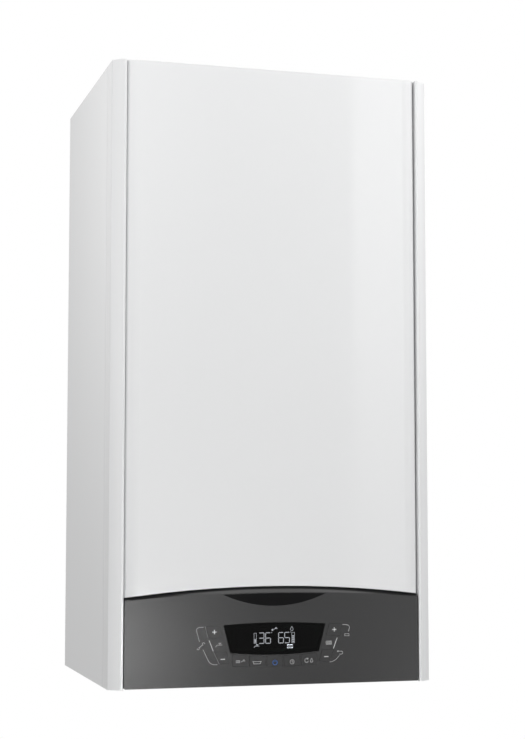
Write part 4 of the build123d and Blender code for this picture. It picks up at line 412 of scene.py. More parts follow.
FINISHES: dict[Slot, Finish] = {
    Slot.WHITE_ENAMEL: Finish(
        (0.86, 0.865, 0.87), 0.34, mottle=0.006, mottle_pitch=0.15, roughness_spread=0.02,
        grain=ORANGE_PEEL, coat=0.6, coat_roughness=0.04,
    ),
    Slot.WHITE_PLASTIC: Finish(
        (0.86, 0.865, 0.87), 0.3, mottle=0.006, mottle_pitch=0.1, grain=MOULDED, coat=0.4,
        coat_roughness=0.12,
    ),
    Slot.CHASSIS_STEEL: Finish(
        (0.55, 0.56, 0.57), 0.38, metallic=1.0, roughness_spread=0.12, mottle=0.14,
        mottle_pitch=0.012, grain=ROLLED,
    ),
    Slot.ZINC_STEEL: Finish(
        (0.62, 0.62, 0.58), 0.32, metallic=1.0, roughness_spread=0.1, mottle=0.1,
        mottle_pitch=0.006, grain=ROLLED,
    ),
    Slot.STAINLESS_STEEL: Finish(
        (0.6, 0.6, 0.59), 0.25, metallic=1.0, roughness_spread=0.08, mottle=0.06,
        mottle_pitch=0.02, grain=ROLLED,
    ),
    Slot.RED_ENAMEL: Finish(
        (0.48, 0.035, 0.03), 0.34, mottle=0.06, mottle_pitch=0.03, grain=ORANGE_PEEL, coat=0.3,
    ),
    Slot.MOTOR_ENAMEL: Finish((0.035, 0.036, 0.04), 0.42, mottle=0.1, grain=AS_CAST),
    Slot.GREY_PLASTIC: Finish((0.2, 0.205, 0.21), 0.5, mottle=0.05, grain=MOULDED),
    Slot.BLACK_PLASTIC: Finish((0.018, 0.018, 0.02), 0.5, mottle=0.08, grain=MOULDED),
    Slot.BOX_PLASTIC: Finish((0.085, 0.088, 0.092), 0.52, mottle=0.05, grain=MOULDED),
    Slot.GRAPHITE_PLASTIC: Finish(
        (0.012, 0.012, 0.0123), 0.24, roughness_spread=0.02, mottle_pitch=0.0012, grain=MOULDED,
    ),
    Slot.GLOSS_BLACK: Finish(
        (0.004, 0.004, 0.0045), 0.12, mottle=0.1, specular=0.12, grain=ORANGE_PEEL,
    ),
    Slot.WINDOW_GLASS: SmokedWindow(
        (0.05, 0.05, 0.052), 0.02, roughness_spread=0.01, mottle=0.02, specular=0.1,
        grain=ORANGE_PEEL,
    ),
    Slot.BOARD_LAMINATE: CircuitBoard((0.03, 0.13, 0.06), 0.4, grain=MOULDED),
    Slot.KEY_PLASTIC: Finish(
        (0.015, 0.015, 0.0153), 0.22, roughness_spread=0.02, mottle_pitch=0.0012, grain=MOULDED,
    ),
    Slot.RED_PLASTIC: Finish((0.5, 0.025, 0.02), 0.4, mottle=0.05, grain=MOULDED),
    Slot.BLUE_PLASTIC: Finish((0.012, 0.06, 0.36), 0.4, mottle=0.05, grain=MOULDED),
    Slot.CAST_ALUMINIUM: Finish(
        (0.56, 0.57, 0.58), 0.45, metallic=1.0, roughness_spread=0.1, mottle=0.08,
        mottle_pitch=0.008, grain=AS_CAST,
    ),
    Slot.COPPER_PIPE: Finish(
        (0.7, 0.34, 0.2), 0.26, metallic=1.0, roughness_spread=0.12, mottle=0.16,
        mottle_pitch=0.03, grain=DRAWN,
    ),
    Slot.GROUP_BRASS: Finish(
        (0.66, 0.49, 0.23), 0.34, metallic=1.0, roughness_spread=0.1, mottle=0.1,
        mottle_pitch=0.01, grain=AS_CAST,
    ),
    Slot.BLACK_RUBBER: Finish((0.02, 0.02, 0.02), 0.65, mottle=0.1, grain=MOULDED),
    Slot.PAD_FOAM: QuiltedFoam(
        (0.06, 0.06, 0.065), 0.6, mottle=0.12, grain=Grain((0.002,) * 3, 0.0008, 0.7)
    ),
    Slot.CERAMIC_WHITE: Finish((0.78, 0.76, 0.7), 0.22, mottle=0.04, grain=ORANGE_PEEL, coat=0.4),
}
FLOOR_PAINT = Finish((0.8, 0.8, 0.8), 0.7, mottle=0.02, mottle_pitch=0.3, grain=MOULDED)


class Ink(Enum):
    """Printed and lit colours, and inks that paint highlights: linear colour, and strength of its
    own light.
    """

    PALE_PRINT = ((0.5, 0.5, 0.5), 0.0)
    # Grey ink used only for painted highlights along the left keys' outer edges.
    DIM_EDGE_HIGHLIGHT = ((0.3, 0.3, 0.3), 0.0)
    # White ink for the keys' printed signs, also used for painted highlights on raised key edges.
    BRIGHT_PRINT_AND_HIGHLIGHT = ((0.75, 0.75, 0.75), 0.0)
    POWER_BLUE = ((0.025, 0.11, 0.36), 0.2)
    LIT_SEGMENT = ((0.85, 0.88, 0.9), 9.0)
    DARK_FILM = ((0.006, 0.006, 0.007), 0.0)

    def build(self) -> bpy.types.Material:
        """Make the ink's material, a flat film with fine unevenness.

        Returns:
            The node material.
        """
        colour, glow = self.value
        finish = Finish(colour, 0.45, mottle=0.06, mottle_pitch=0.002, specular=0.15,
                        grain=MOULDED)
        material = finish.build("ink_" + self.name.lower())
        shader = material.node_tree.nodes["Principled BSDF"]
        shader.inputs["Emission Color"].default_value = (*colour, 1.0)
        shader.inputs["Emission Strength"].default_value = glow
        return material


class Paints:
    """All materials, made once and shared."""

    def __init__(self) -> None:
        self.by_slot = {slot: finish.build(slot.value) for slot, finish in FINISHES.items()}
        self.by_ink = {ink: ink.build() for ink in Ink}

    def dress(self, frame: dict) -> None:
        """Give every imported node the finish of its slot.

        Args:
            frame: What the frame loader returned.
        """
        for entry in frame["record"]["subparts"]:
            node = frame["nodes"][entry["node"]]
            material = self.by_slot[Slot(entry["material_slot"])]
            if not node.material_slots:
                node.data.materials.append(material)
            for place in node.material_slots:
                place.material = material
            LOG.info("%s: %s", entry["node"], material.name)


# ---------------------------------------------------------------- flat marks
def along(points: Iterable[Point]) -> list[Vector]:
    """Points as vectors in the plane of the panel."""
    return [Vector(point) for point in points]


def arc(centre: Point, radius: float, start: float, end: float, steps: int = 12) -> list[Point]:
    """Points on an arc.

    Args:
        centre: Middle of the arc.
        radius: Its radius.
        start: First angle in degrees, from the right and turning up.
        end: Last angle in degrees.
        steps: Number of chords.

    Returns:
        The points, both ends included.
    """
    angles = [math.radians(start + (end - start) * step / steps) for step in range(steps + 1)]
    return [
        (centre[0] + radius * math.cos(angle), centre[1] + radius * math.sin(angle))
        for angle in angles
    ]


def circle(centre: Point, radius: float, steps: int = 24) -> list[Point]:
    """Closed round outline without a repeated point."""
    return arc(centre, radius, 0.0, 360.0, steps)[:-1]


def oblong(low: Point, high: Point) -> list[Point]:
    """Outline of a rectangle between its lower left and its upper right corner."""
    (left, foot), (right, top) = low, high
    return [(left, foot), (right, foot), (right, top), (left, top)]


def cross(centre: Point, reach: float, width: float) -> list[Point]:
    """Outline of a plus sign.

    Args:
        centre: Its middle.
        reach: Length of each arm from the middle.
        width: Width of each arm.

    Returns:
        Its corners in order.
    """
    half = width / 2
    corners = [(half, half), (half, reach), (-half, reach), (-half, half)]
    outline = []
    for _ in range(4):
        outline += corners
        corners = [(-up, across) for across, up in corners]
    return scaled(outline, centre, 1.0)


def scaled(points: Iterable[Point], centre: Point, size: float) -> list[Point]:
    """Points of a sign of size one, drawn at a size about a centre."""
    return [(centre[0] + across * size, centre[1] + up * size) for across, up in points]


@dataclass
class FlatArt:
    """Flat shapes of one ink that lie on one surface and move with one body.

    Args:
        name: Name of the piece.
        body: Body that it rides on.
        slot: Material slot that it belongs to.
        ink: Its colour.
        face: Depth of the surface that carries it, in metres towards the viewer.
        foot: Height of the casing's underside, in metres.
        proud: How far the film stands out, in metres.
        mitre_limit: A stroke's corner is drawn out to half its width over this at most.
        shapes: Outlines drawn so far.
    """

    name: str
    body: str
    slot: Slot
    ink: Ink
    face: float
    foot: float
    proud: float = 0.00004
    mitre_limit: float = 0.35
    shapes: list[list[Point]] = field(default_factory=list)

    def polygon(self, points: Iterable[Point]) -> None:
        """Add a filled outline."""
        self.shapes.append(list(points))

    def strokes(self, lines: Iterable[Iterable[Point]], width: float) -> None:
        """Add several lines of one width."""
        for line in lines:
            self.stroke(line, width)

    def stroke(self, points: Iterable[Point], width: float, closed: bool = False) -> None:
        """Add a line of even width with mitred corners.

        Args:
            points: Points of the middle of the line.
            width: Its width.
            closed: Whether the line returns to its first point.
        """
        spine = along(points)
        count = len(spine)
        left, right = [], []
        for place, point in enumerate(spine):
            before = spine[(place - 1) % count] if closed or place else None
            after = spine[(place + 1) % count] if closed or place < count - 1 else None
            arriving = (point - before).normalized() if before else None
            leaving = (after - point).normalized() if after else None
            heading = ((arriving or leaving) + (leaving or arriving)).normalized()
            side = Vector((-heading.y, heading.x))
            reach = width / 2 / max(self.mitre_limit, heading.dot(arriving or leaving))
            left.append(point + side * reach)
            right.append(point - side * reach)
        runs = count if closed else count - 1
        for run in range(runs):
            after = (run + 1) % count
            self.shapes.append(
                [tuple(corner) for corner in (right[run], right[after], left[after], left[run])]
            )

    def build(self, paints: Paints) -> bpy.types.Object:
        """Make the piece as thin prisms and let it ride on its body.

        Args:
            paints: The shared materials.

        Returns:
            The new object.
        """
        mesh = bpy.data.meshes.new(self.name)
        builder = bmesh.new()
        back, front = self.face + self.proud / 2, self.face - self.proud
        for shape in self.shapes:
            places = [(across * MILLIMETRE, self.foot + up * MILLIMETRE) for across, up in shape]
            rear = [builder.verts.new((across, back, up)) for across, up in places]
            fore = [builder.verts.new((across, front, up)) for across, up in places]
            builder.faces.new(fore)
            builder.faces.new(reversed(rear))
            for place in range(len(places)):
                after = (place + 1) % len(places)
                builder.faces.new((fore[place], rear[place], rear[after], fore[after]))
        bmesh.ops.recalc_face_normals(builder, faces=builder.faces)
        bmesh.ops.triangulate(builder, faces=builder.faces)
        builder.to_mesh(mesh)
        builder.free()
        mesh.materials.append(paints.by_ink[self.ink])
        piece = bpy.data.objects.new(self.name, mesh)
        bpy.context.scene.collection.objects.link(piece)
        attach(piece, self.body)
        LOG.info("%s: %d shapes on %s", self.name, len(self.shapes), self.body)
        return piece


@dataclass(frozen=True)
class Digit:
    """Seven-segment figure.

    Args:
        left: Left side of the figure.
        low: Foot of the figure.
        width: Its width.
        height: Its height.
        stroke: Width of a segment.
        gap: From a segment's end to the corner of the figure.
    """

    left: float
    low: float
    width: float = 6.1
    height: float = 12.4
    stroke: float = 0.95
    gap: float = 0.15

    LIT = {3: "abgcd", 5: "afgcd", 6: "afgcde"}

    def segments(self, figure: int) -> list[list[Point]]:
        """Lit segments of a figure.

        Args:
            figure: Figure that is shown.

        Returns:
            Outline of each lit segment.
        """
        half = self.stroke / 2
        right, high = self.left + self.width, self.low + self.height
        middle = (self.low + high) / 2
        ends = {
            "a": ((self.left, high), (right, high)),
            "b": ((right, high), (right, middle)),
            "c": ((right, middle), (right, self.low)),
            "d": ((self.left, self.low), (right, self.low)),
            "e": ((self.left, middle), (self.left, self.low)),
            "f": ((self.left, high), (self.left, middle)),
            "g": ((self.left, middle), (right, middle)),
        }
        outlines = []
        for letter in self.LIT[figure]:
            start, end = along(ends[letter])
            heading = (end - start).normalized()
            side = Vector((-heading.y, heading.x)) * half
            first, last = start + heading * self.gap, end - heading * self.gap
            points = (
                first, first + heading * half + side, last - heading * half + side, last,
                last - heading * half - side, first + heading * half - side,
            )
            outlines.append([tuple(point) for point in points])
        return outlines


BAR_REACH = 0.36
RAIL_REACH = 0.56
RAIL_RISE = 0.26
TAP_SIGN = (
    (*reversed(arc((-0.22, -0.08), 0.3, 90, 180, 6)), (0.5, 0.22)),
    ((0.12, 0.22), (0.12, 0.5)),
    ((-0.1, 0.5), (0.34, 0.5)),
)
DROP_SIGN = (*arc((0.0, -0.15), 0.35, -215, 35, 16), (0.0, 0.5))


def radiator(centre: Point, size: float, bars: int) -> list[list[Point]]:
    """Upright bars and two rails of a small radiator.

    Args:
        centre: Middle of the sign.
        size: Its width between the outer bars.
        bars: Number of bars.

    Returns:
        The strokes.
    """
    places = [bar / (bars - 1) - 0.5 for bar in range(bars)]
    lines = [((place, -BAR_REACH), (place, BAR_REACH)) for place in places]
    lines += [((-RAIL_REACH, rise), (RAIL_REACH, rise)) for rise in (-RAIL_RISE, RAIL_RISE)]
    return [scaled(line, centre, size) for line in lines]


def tap(centre: Point, size: float) -> list[list[Point]]:
    """Spout, stem and handle of a small tap, as strokes."""
    return [scaled(line, centre, size) for line in TAP_SIGN]


def drop(centre: Point, size: float) -> list[Point]:
    """Closed outline of a water drop."""
    return scaled(DROP_SIGN, centre, size)


@dataclass(frozen=True)
class Display:
    """Lit figures and signs behind the window.

    Args:
        paints: The shared materials.
        foot: Height of the casing's underside, in metres.
        film: Lower left and upper right corner of the dark film.
        film_proud: How far the film stands out, in metres.
        signs_lift: From the film's carrier to the lit signs, in metres.
        figures: Left side and value of each figure.
        figures_low: Foot of the figures.
        degree_marks: Middles of the degree marks.
        degree_radius: Their radius.
        gauge_frames: Lower left and upper right corner of each level gauge.
        gauge_line: Width of their lines.
        left_level: Corners of the level in the left gauge.
        step_sides: Left and right side of the steps in the right gauge.
        step_low: Foot of the lowest step.
        step_pitch: From one step to the next.
        step_height: Height of a step.
        steps: Number of lit steps.
        sign_line: Width of the small signs' strokes.
        tap_line: Width of the lower tap's strokes.
        drop_line: Width of the drop's outline.
    """

    paints: Paints
    foot: float
    film: tuple[Point, Point] = ((-49.6, 44.4), (49.6, 67.6))
    film_proud: float = 0.00002
    signs_lift: float = 0.00006
    figures: tuple[tuple[float, int], ...] = ((-19.2, 3), (-11.1, 6), (5.0, 6), (12.5, 5))
    figures_low: float = 49.9
    degree_marks: tuple[Point, ...] = ((-3.6, 62.6), (20.0, 62.6))
    degree_radius: float = 0.45
    gauge_frames: tuple[tuple[Point, Point], ...] = (
        ((-25.4, 50.1), (-22.5, 62.1)),
        ((21.4, 49.9), (24.8, 62.1)),
    )
    gauge_line: float = 0.45
    left_level: tuple[Point, Point] = ((-24.8, 50.8), (-23.1, 55.2))
    step_sides: tuple[float, float] = (22.1, 24.1)
    step_low: float = 50.6
    step_pitch: float = 2.2
    step_height: float = 1.7
    steps: int = 4
    sign_line: float = 0.6
    tap_line: float = 0.7
    drop_line: float = 0.55

    def build(self) -> None:
        """Make the dark film and the lit signs in front of it."""
        block_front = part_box("key_board")[0].y
        film = FlatArt("display_film", "control_panel", Slot.GLOSS_BLACK, Ink.DARK_FILM,
                       block_front, self.foot, self.film_proud)
        film.polygon(oblong(*self.film))
        film.build(self.paints)
        lit = FlatArt("display_signs", "control_panel", Slot.WHITE_PLASTIC, Ink.LIT_SEGMENT,
                      block_front - self.signs_lift, self.foot)
        for left, figure in self.figures:
            for outline in Digit(left, self.figures_low).segments(figure):
                lit.polygon(outline)
        for centre in self.degree_marks:
            lit.polygon(circle(centre, self.degree_radius, 12))
        self.gauges(lit)
        self.signs(lit)
        lit.build(self.paints)

    def gauges(self, lit: FlatArt) -> None:
        """Two upright level gauges beside the figures.

        Args:
            lit: Sheet of the lit signs.
        """
        for corners in self.gauge_frames:
            lit.stroke(oblong(*corners), self.gauge_line, closed=True)
        lit.polygon(oblong(*self.left_level))
        left, right = self.step_sides
        for step in range(self.steps):
            low = self.step_low + self.step_pitch * step
            lit.polygon(oblong((left, low), (right, low + self.step_height)))

    def signs(self, lit: FlatArt) -> None:
        """Small signs above and under the gauges.

        Args:
            lit: Sheet of the lit signs.
        """
        lit.strokes(tap((-22.0, 45.6), 6.0), self.tap_line)
        lit.strokes(radiator((19.2, 45.8), 6.6, 6), self.sign_line)
        lit.stroke(drop((21.5, 66.6), 5.0), self.drop_line, closed=True)
        lit.strokes(tap((1.4, 66.0), 4.4), self.sign_line)
        lit.polygon(circle((-2.6, 65.6), 1.2, 16))


@dataclass(frozen=True)
class PanelPrint:
    """Pale lines printed on the fascia round the keys, and painted highlights along the keys'
    raised edges.

    Args:
        paints: The shared materials.
        foot: Height of the casing's underside, in metres.
        face: Front of the fascia, in metres.
        line: Width of the brackets and arrows.
        sign_line: Width of the tap's strokes.
        bar_line: Width of the radiator's strokes.
        fine_line: Width of the painted key-edge highlights and of the small frame.
        spanner_line: Width of the spanner's handle.
        jaw_line: Width of its two jaws.
        slash_highlights: Painted highlights: bright strokes between the plus and the minus keys
            that stand for light caught on their raised edges.
        slash_highlight_line: Their width.
        edges: Painted highlights: dim strokes along the outer sides of the left keys, where light
            catches their raised edges.
    """

    paints: Paints
    foot: float
    face: float = -0.318
    line: float = 0.55
    sign_line: float = 0.65
    bar_line: float = 0.7
    fine_line: float = 0.45
    spanner_line: float = 0.8
    jaw_line: float = 0.6
    # Painted highlights: bright strokes for the light on the raised edges between plus and minus
    # keys.
    slash_highlights: tuple[tuple[Point, Point], ...] = (
        ((-80.7, 54.9), (-75.7, 42.3)),
        ((78.2, 54.9), (73.4, 42.2)),
    )
    slash_highlight_line: float = 0.75
    # Painted highlights: dim strokes for the light on the lit outer sides of the left keys.
    edges: tuple[tuple[Point, Point], ...] = (
        ((-85.6, 71.4), (-82.2, 57.9)),
        ((-75.2, 41.0), (-68.4, 27.0)),
    )

    def build(self) -> None:
        """Make the printed lines of both sides and the painted highlights along the key edges."""
        pale = self.sheet("fascia_lines", Ink.PALE_PRINT)
        self.left(pale)
        self.right(pale)
        # Painted highlights on the raised edges between the plus and minus keys.
        bright = self.sheet("fascia_slash_highlights", Ink.BRIGHT_PRINT_AND_HIGHLIGHT)
        bright.strokes(self.slash_highlights, self.slash_highlight_line)
        # Painted highlights along the outer sides of the left keys.
        dim = self.sheet("fascia_edge_highlights", Ink.DIM_EDGE_HIGHLIGHT)
        dim.strokes(self.edges, self.fine_line)
        for piece in (pale, bright, dim):
            piece.build(self.paints)

    def sheet(self, name: str, ink: Ink) -> FlatArt:
        """Empty sheet of one ink on the front of the fascia."""
        return FlatArt(name, "control_panel", Slot.GRAPHITE_PLASTIC, ink, self.face, self.foot)

    def left(self, pale: FlatArt) -> None:
        """Brackets, spanner and tap at the left of the display.

        Args:
            pale: Sheet of the pale lines.
        """
        corner = arc((-92.2, 66.4), 4.0, 95, 170, 6)
        pale.stroke([(-87.5, 70.5), *corner, (-92.4, 53.4)], self.line)
        turn = arc((-73.2, 36.4), 10.0, 215, 262, 5)
        pale.stroke([(-88.1, 44.4), (-83.6, 35.2), *turn, (-70.7, 26.5)], self.line)
        pale.stroke([(-92.6, 46.8), (-88.6, 50.0)], self.spanner_line)
        jaws = (arc((-87.4, 51.0), 1.5, 0, 250, 10), arc((-93.8, 45.8), 1.4, 180, 430, 10))
        pale.strokes(jaws, self.jaw_line)
        pale.strokes(tap((-68.6, 47.6), 7.6), self.sign_line)

    def right(self, pale: FlatArt) -> None:
        """Brackets, arrow and radiator at the right of the display.

        Args:
            pale: Sheet of the pale lines.
        """
        corner = arc((89.6, 65.9), 4.3, 80, 10, 6)
        pale.stroke([(85.0, 70.3), *corner, (92.5, 61.9)], self.line)
        pale.stroke(oblong((87.6, 56.8), (93.2, 59.2)), self.fine_line, closed=True)
        turn = arc((67.9, 40.0), 14.0, -32, -75, 6)
        pale.stroke([(81.1, 33.5), *turn, (68.4, 26.2)], self.line)
        hook = arc((83.4, 36.8), 1.8, 90, -90, 6)
        pale.stroke([(78.9, 38.6), (83.4, 38.6), *hook, (80.6, 35.0)], self.line)
        pale.polygon([(77.7, 38.6), (79.6, 39.8), (79.6, 37.4)])
        pale.strokes(radiator((67.6, 49.0), 6.6, 6), self.bar_line)


@dataclass(frozen=True)
class KeyMarks:
    """Signs on the keys, each riding on its own key.

    Args:
        paints: The shared materials.
        foot: Height of the casing's underside, in metres.
        plus: Middle of the plus sign at the right of the display.
        plus_reach: Length of its arms.
        plus_line: Their width.
        minus: Lower left and upper right corner of the minus sign there.
        thin_line: Width of the thin strokes on the lower row.
        mode_line: Width of the strokes on its first key.
        reset_line: Width of the arrow's stroke on its last key.
        ring_line: Width of the ring on its middle key.
    """

    paints: Paints
    foot: float
    plus: Point = (74.4, 64.6)
    plus_reach: float = 2.6
    plus_line: float = 0.85
    minus: tuple[Point, Point] = ((61.5, 32.2), (66.9, 33.1))
    thin_line: float = 0.5
    mode_line: float = 0.55
    reset_line: float = 0.6
    ring_line: float = 0.75

    def art(self, key: str, ink: Ink = Ink.PALE_PRINT) -> FlatArt:
        """Empty sheet of one ink on the front of a key."""
        return FlatArt(key + "_mark", key, Slot.KEY_PLASTIC, ink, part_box(key)[0].y, self.foot)

    def build(self) -> None:
        """Make the signs of all nine keys."""
        plus_sign = cross(self.plus, self.plus_reach, self.plus_line)
        for side, circuit in ((-1, "hot_water"), (1, "heating")):
            for key, sign in (("plus", plus_sign), ("minus", oblong(*self.minus))):
                art = self.art(f"key_{circuit}_{key}", Ink.BRIGHT_PRINT_AND_HIGHLIGHT)
                art.polygon((side * across, up) for across, up in sign)
                art.build(self.paints)
        self.row()

    def row(self) -> None:
        """Signs of the lower row."""
        mode = self.art("key_mode")
        mode.strokes(radiator((-45.6, 29.4), 4.4, 4), self.mode_line)
        mode.strokes(tap((-39.0, 29.1), 4.2), self.mode_line)
        comfort = self.art("key_comfort")
        tub = [(-27.0, 28.8), (-26.2, 26.3), (-18.2, 26.3), (-17.4, 28.8)]
        rim = [(-27.8, 28.9), (-16.6, 28.9)]
        comfort.strokes((tub, rim), self.thin_line)
        power = self.art("key_power", Ink.POWER_BLUE)
        ring = arc((0.0, 27.2), 2.7, 118, 422, 30)
        power.strokes((ring, [(0.0, 27.8), (0.0, 30.6)]), self.ring_line)
        auto = self.art("key_auto")
        auto.stroke(circle((21.3, 27.5), 2.5), self.thin_line, closed=True)
        auto.stroke([(21.3, 29.2), (21.3, 27.5), (22.6, 26.8)], self.thin_line)
        reset = self.art("key_reset")
        reset.stroke(arc((39.4, 28.6), 2.3, 60, 350, 20), self.reset_line)
        reset.polygon([(39.7, 31.9), (39.9, 29.2), (42.2, 30.9)])
        reset.stroke(drop((45.6, 28.7), 4.6), self.thin_line, closed=True)
        for piece in (mode, comfort, power, auto, reset):
            piece.build(self.paints)


# ---------------------------------------------------------------- studio
@dataclass(frozen=True)
class Softbox:
    """Rectangular studio light.

    Args:
        name: Name of the light.
        place: Its middle, in metres.
        aim: Point that it faces.
        width: Its width.
        height: Its height.
        radiance: Brightness of its face, where white paper in full light is one.
    """

    name: str
    place: tuple[float, float, float]
    aim: tuple[float, float, float]
    width: float
    height: float
    radiance: float

    def build(self) -> bpy.types.Object:
        """Make the lamp, turned to its aim.

        Returns:
            The new object.
        """
        lamp = bpy.data.lights.new(self.name, "AREA")
        lamp.shape = "RECTANGLE"
        lamp.size, lamp.size_y = self.width, self.height
        lamp.energy = self.radiance * math.pi * self.width * self.height
        light = bpy.data.objects.new(self.name, lamp)
        light.location = self.place
        heading = Vector(self.aim) - Vector(self.place)
        light.rotation_euler = heading.to_track_quat("-Z", "Y").to_euler()
        bpy.context.scene.collection.objects.link(light)
        LOG.info("%s: brightness %.2f", self.name, self.radiance)
        return light


@dataclass(frozen=True)
class Fade:
    """Soft change of brightness along one side of a card, in metres of the frame.

    Args:
        full: Place from which the card is fully bright.
        end: Place where it reaches its floor.
        floor: Share of the brightness that is left there.
    """

    full: float
    end: float
    floor: float = 0.0


@dataclass(frozen=True)
class GradedCard:
    """Upright glowing card whose brightness fades across and down, and that hides nothing.

    Args:
        name: Name of the card.
        across: Its left and right edge, seen from the boiler with the turn taken off.
        up: Its lower and upper edge.
        away: How far its plane stands from the frame's upright axis.
        radiance: Brightness where it is full.
        fade_across: Fade along its width.
        fade_up: Fade along its height.
        turn: Angle in degrees by which it stands round to the left of the boiler's front.
    """

    name: str
    across: tuple[float, float]
    up: tuple[float, float]
    away: float
    radiance: float
    fade_across: Fade
    fade_up: Fade
    turn: float = 0.0

    def build(self) -> bpy.types.Object:
        """Make the card, unseen by the camera itself.

        Returns:
            The new object.
        """
        (left, right), (low, high) = self.across, self.up
        mesh = bpy.data.meshes.new(self.name)
        corners = [(left, low), (right, low), (right, high), (left, high)]
        mesh.from_pydata([(x, -self.away, z) for x, z in corners], [], [(3, 2, 1, 0)])
        card = bpy.data.objects.new(self.name, mesh)
        card.rotation_euler = (0.0, 0.0, math.radians(-self.turn))
        card.visible_camera = False
        bpy.context.scene.collection.objects.link(card)
        mesh.materials.append(self.glow())
        LOG.info("%s: brightness %.2f", self.name, self.radiance)
        return card

    def glow(self) -> bpy.types.Material:
        """Make the card's light, bright by its place.

        Returns:
            The node material.
        """
        material = bpy.data.materials.new(self.name + "_glow")
        material.use_nodes = True
        sketch = NodeSketch(material)
        split = sketch.node("ShaderNodeSeparateXYZ")
        sketch.link(sketch.place, split.inputs["Vector"])
        shares = []
        for fade, axis in ((self.fade_across, "X"), (self.fade_up, "Z")):
            ranged = sketch.node("ShaderNodeMapRange", interpolation_type="SMOOTHSTEP")
            ranged.inputs["From Min"].default_value = fade.end
            ranged.inputs["From Max"].default_value = fade.full
            ranged.inputs["To Min"].default_value = fade.floor
            sketch.link(split.outputs[axis], ranged.inputs["Value"])
            shares.append(ranged.outputs["Result"])
        both = sketch.node("ShaderNodeMath", operation="MULTIPLY")
        sketch.link(shares[0], both.inputs[0])
        sketch.link(shares[1], both.inputs[1])
        power = sketch.node("ShaderNodeMath", operation="MULTIPLY")
        power.inputs[1].default_value = self.radiance
        sketch.link(both.outputs["Value"], power.inputs[0])
        light = sketch.node("ShaderNodeEmission")
        sketch.link(power.outputs["Value"], light.inputs["Strength"])
        sheer = sketch.node("ShaderNodeAddShader")
        sketch.link(light.outputs["Emission"], sheer.inputs[0])
        sketch.link(sketch.node("ShaderNodeBsdfTransparent").outputs["BSDF"], sheer.inputs[1])
        output = sketch.tree.nodes["Material Output"]
        sketch.link(sheer.outputs["Shader"], output.inputs["Surface"])
        return material


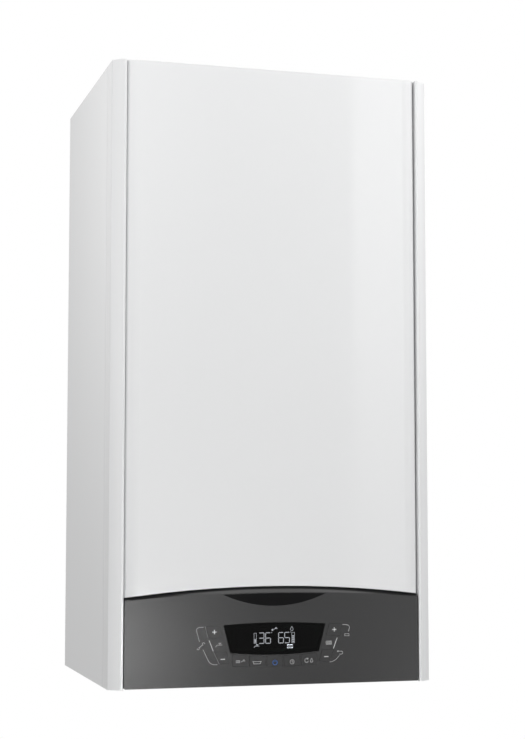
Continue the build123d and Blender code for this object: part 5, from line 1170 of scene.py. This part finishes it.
@dataclass(frozen=True)
class Studio:
    """White surround, pale floor, soft lights and the camera.

    Args:
        ambient: Strength of the surround as a light.
        mirrored: Its strength in mirrors and through clear pieces.
        backdrop: Its strength to the camera, where one is white.
        floor_level: Height of the floor, in metres.
        floor_radius: Its radius.
        floor_lift: Brightness that it has to the eye beside the light that falls on it.
        camera_place: Place of the camera, in metres.
        camera_pitch: Angle in degrees by which it looks up.
        camera_yaw: Angle in degrees by which it looks to the right.
        lens: Its focal length, in millimetres.
        sensor: Longer side of its sensor, in millimetres.
        cards: Graded cards round the boiler.
        softboxes: Lamps round the boiler.
    """

    ambient: float = 0.25
    mirrored: float = 0.65
    backdrop: float = 1.0
    floor_level: float = -3.4
    floor_radius: float = 2.6
    floor_lift: float = 0.5
    camera_place: tuple[float, float, float] = (-0.55367, -2.19410, -0.47719)
    camera_pitch: float = 4.796
    camera_yaw: float = 16.01
    lens: float = 79.2
    sensor: float = 36.0
    cards: tuple[GradedCard, ...] = (
        GradedCard("key_card", (-1.6, 0.72), (-0.9, 2.2), 3.0, 1.4,
                   Fade(0.3, 0.7), Fade(1.2, -0.8)),
        GradedCard("low_card", (-0.1, 0.57), (-0.98, -0.68), 3.0, 24.0,
                   Fade(0.2, 0.55), Fade(-0.8, -0.68)),
        GradedCard("low_edge_card", (1.1, 1.9), (-1.4, -0.85), 3.0, 2.6,
                   Fade(1.3, 1.1), Fade(-1.0, -0.85)),
        GradedCard("edge_card", (1.037, 1.45), (-0.9, 2.2), 3.0, 2.4,
                   Fade(1.0, 0.9), Fade(0.6, -0.8, 0.35)),
        GradedCard("flank_card", (-0.9, 0.9), (-1.5, 1.2), 3.0, 1.45,
                   Fade(0.2, -0.9), Fade(-0.7, 1.0, 0.2), 50.0),
        GradedCard("left_card", (-0.4, 1.4), (-0.3, 1.6), 1.25, 0.8,
                   Fade(0.0, -0.4), Fade(0.1, -0.9), 90.0),
        GradedCard("right_card", (-1.6, 0.4), (-0.8, 1.6), 1.6, 1.6,
                   Fade(0.0, 0.4), Fade(0.8, -0.8), -80.0),
        GradedCard("rear_card", (-1.3, -0.33), (-0.9, 1.2), -1.0, 0.62,
                   Fade(-0.5, -0.33), Fade(0.35, -0.85)),
    )
    softboxes: tuple[Softbox, ...] = (
        Softbox("top_softbox", (0.55, -1.31, 1.13), (0.0, -0.31, -0.6), 1.2, 0.7, 1.9),
    )

    def build(self) -> None:
        """Set up everything that isn't the object."""
        self.surround()
        self.floor()
        for light in (*self.cards, *self.softboxes):
            light.build()
        self.camera()
        bpy.context.scene.view_settings.view_transform = "Standard"

    def surround(self) -> None:
        """White to the camera, pale in mirrors, and an even soft light for the rest."""
        world = bpy.data.worlds.new("surround")
        world.use_nodes = True
        tree = world.node_tree
        eye, mirror = self.rays(tree)
        light = self.sky(tree, self.ambient)
        for switch, strength in ((mirror, self.mirrored), (eye, self.backdrop)):
            mix = tree.nodes.new("ShaderNodeMixShader")
            tree.links.new(switch, mix.inputs["Fac"])
            tree.links.new(light, mix.inputs[1])
            tree.links.new(self.sky(tree, strength), mix.inputs[2])
            light = mix.outputs["Shader"]
        tree.links.new(light, tree.nodes["World Output"].inputs["Surface"])
        bpy.context.scene.world = world

    def rays(self, tree: bpy.types.NodeTree) -> tuple[bpy.types.NodeSocket, bpy.types.NodeSocket]:
        """Switches for the eye, and for mirrors and clear pieces.

        Args:
            tree: Node tree that they go into.

        Returns:
            Both sockets, each one or nought.
        """
        paths = tree.nodes.new("ShaderNodeLightPath").outputs
        mirror = self.either(tree, paths["Is Glossy Ray"], paths["Is Transmission Ray"])
        return paths["Is Camera Ray"], mirror

    @staticmethod
    def sky(tree: bpy.types.NodeTree, strength: float) -> bpy.types.NodeSocket:
        """Even white surround.

        Args:
            tree: Node tree of the world.
            strength: Brightness, where one is white.

        Returns:
            Socket of the surround.
        """
        sky = tree.nodes.new("ShaderNodeBackground")
        sky.inputs["Color"].default_value = (1.0, 1.0, 1.0, 1.0)
        sky.inputs["Strength"].default_value = strength
        return sky.outputs["Background"]

    @staticmethod
    def either(
        tree: bpy.types.NodeTree, first: bpy.types.NodeSocket, second: bpy.types.NodeSocket
    ) -> bpy.types.NodeSocket:
        """Switch that is one where either of two is one.

        Args:
            tree: Node tree that it goes into.
            first: One switch.
            second: The other.

        Returns:
            Socket of the new switch.
        """
        larger = tree.nodes.new("ShaderNodeMath")
        larger.operation = "MAXIMUM"
        tree.links.new(first, larger.inputs[0])
        tree.links.new(second, larger.inputs[1])
        return larger.outputs["Value"]

    def floor(self) -> None:
        """Round pale floor below the boiler, out of the photograph's view."""
        mesh = bpy.data.meshes.new("studio_floor")
        builder = bmesh.new()
        bmesh.ops.create_circle(builder, cap_ends=True, radius=self.floor_radius, segments=96)
        builder.to_mesh(mesh)
        builder.free()
        floor = bpy.data.objects.new("studio_floor", mesh)
        floor.location = (0.0, -self.floor_radius / 2, self.floor_level)
        bpy.context.scene.collection.objects.link(floor)
        paint = FLOOR_PAINT.build("floor_paint")
        self.lift(paint.node_tree)
        mesh.materials.append(paint)

    def lift(self, tree: bpy.types.NodeTree) -> None:
        """Make a paint paler to the eye and in mirrors, with the shadows on it kept.

        Args:
            tree: Node tree of the paint.
        """
        share = tree.nodes.new("ShaderNodeMath")
        share.operation = "MULTIPLY"
        share.inputs[1].default_value = self.floor_lift
        tree.links.new(self.either(tree, *self.rays(tree)), share.inputs[0])
        glow = tree.nodes.new("ShaderNodeEmission")
        tree.links.new(share.outputs["Value"], glow.inputs["Strength"])
        both = tree.nodes.new("ShaderNodeAddShader")
        surface = tree.nodes["Material Output"].inputs["Surface"]
        tree.links.new(surface.links[0].from_socket, both.inputs[0])
        tree.links.new(glow.outputs["Emission"], both.inputs[1])
        tree.links.new(both.outputs["Shader"], surface)

    def camera(self) -> None:
        """Camera at the photograph's place and angle."""
        lens = bpy.data.cameras.new("camera")
        lens.lens = self.lens
        lens.sensor_width = self.sensor
        camera = bpy.data.objects.new("camera", lens)
        camera.location = self.camera_place
        camera.rotation_euler = (
            math.radians(90.0 + self.camera_pitch), 0.0, math.radians(-self.camera_yaw)
        )
        bpy.context.scene.collection.objects.link(camera)
        bpy.context.scene.camera = camera


def main() -> None:
    """Dress the frame and set up the view."""
    logging.basicConfig(level=logging.INFO, format="%(name)s: %(message)s")
    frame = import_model()
    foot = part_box("side_panel_left")[0].z
    paints = Paints()
    paints.dress(frame)
    Display(paints, foot).build()
    PanelPrint(paints, foot).build()
    KeyMarks(paints, foot).build()
    Studio().build()


if __name__ == "__main__":
    main()
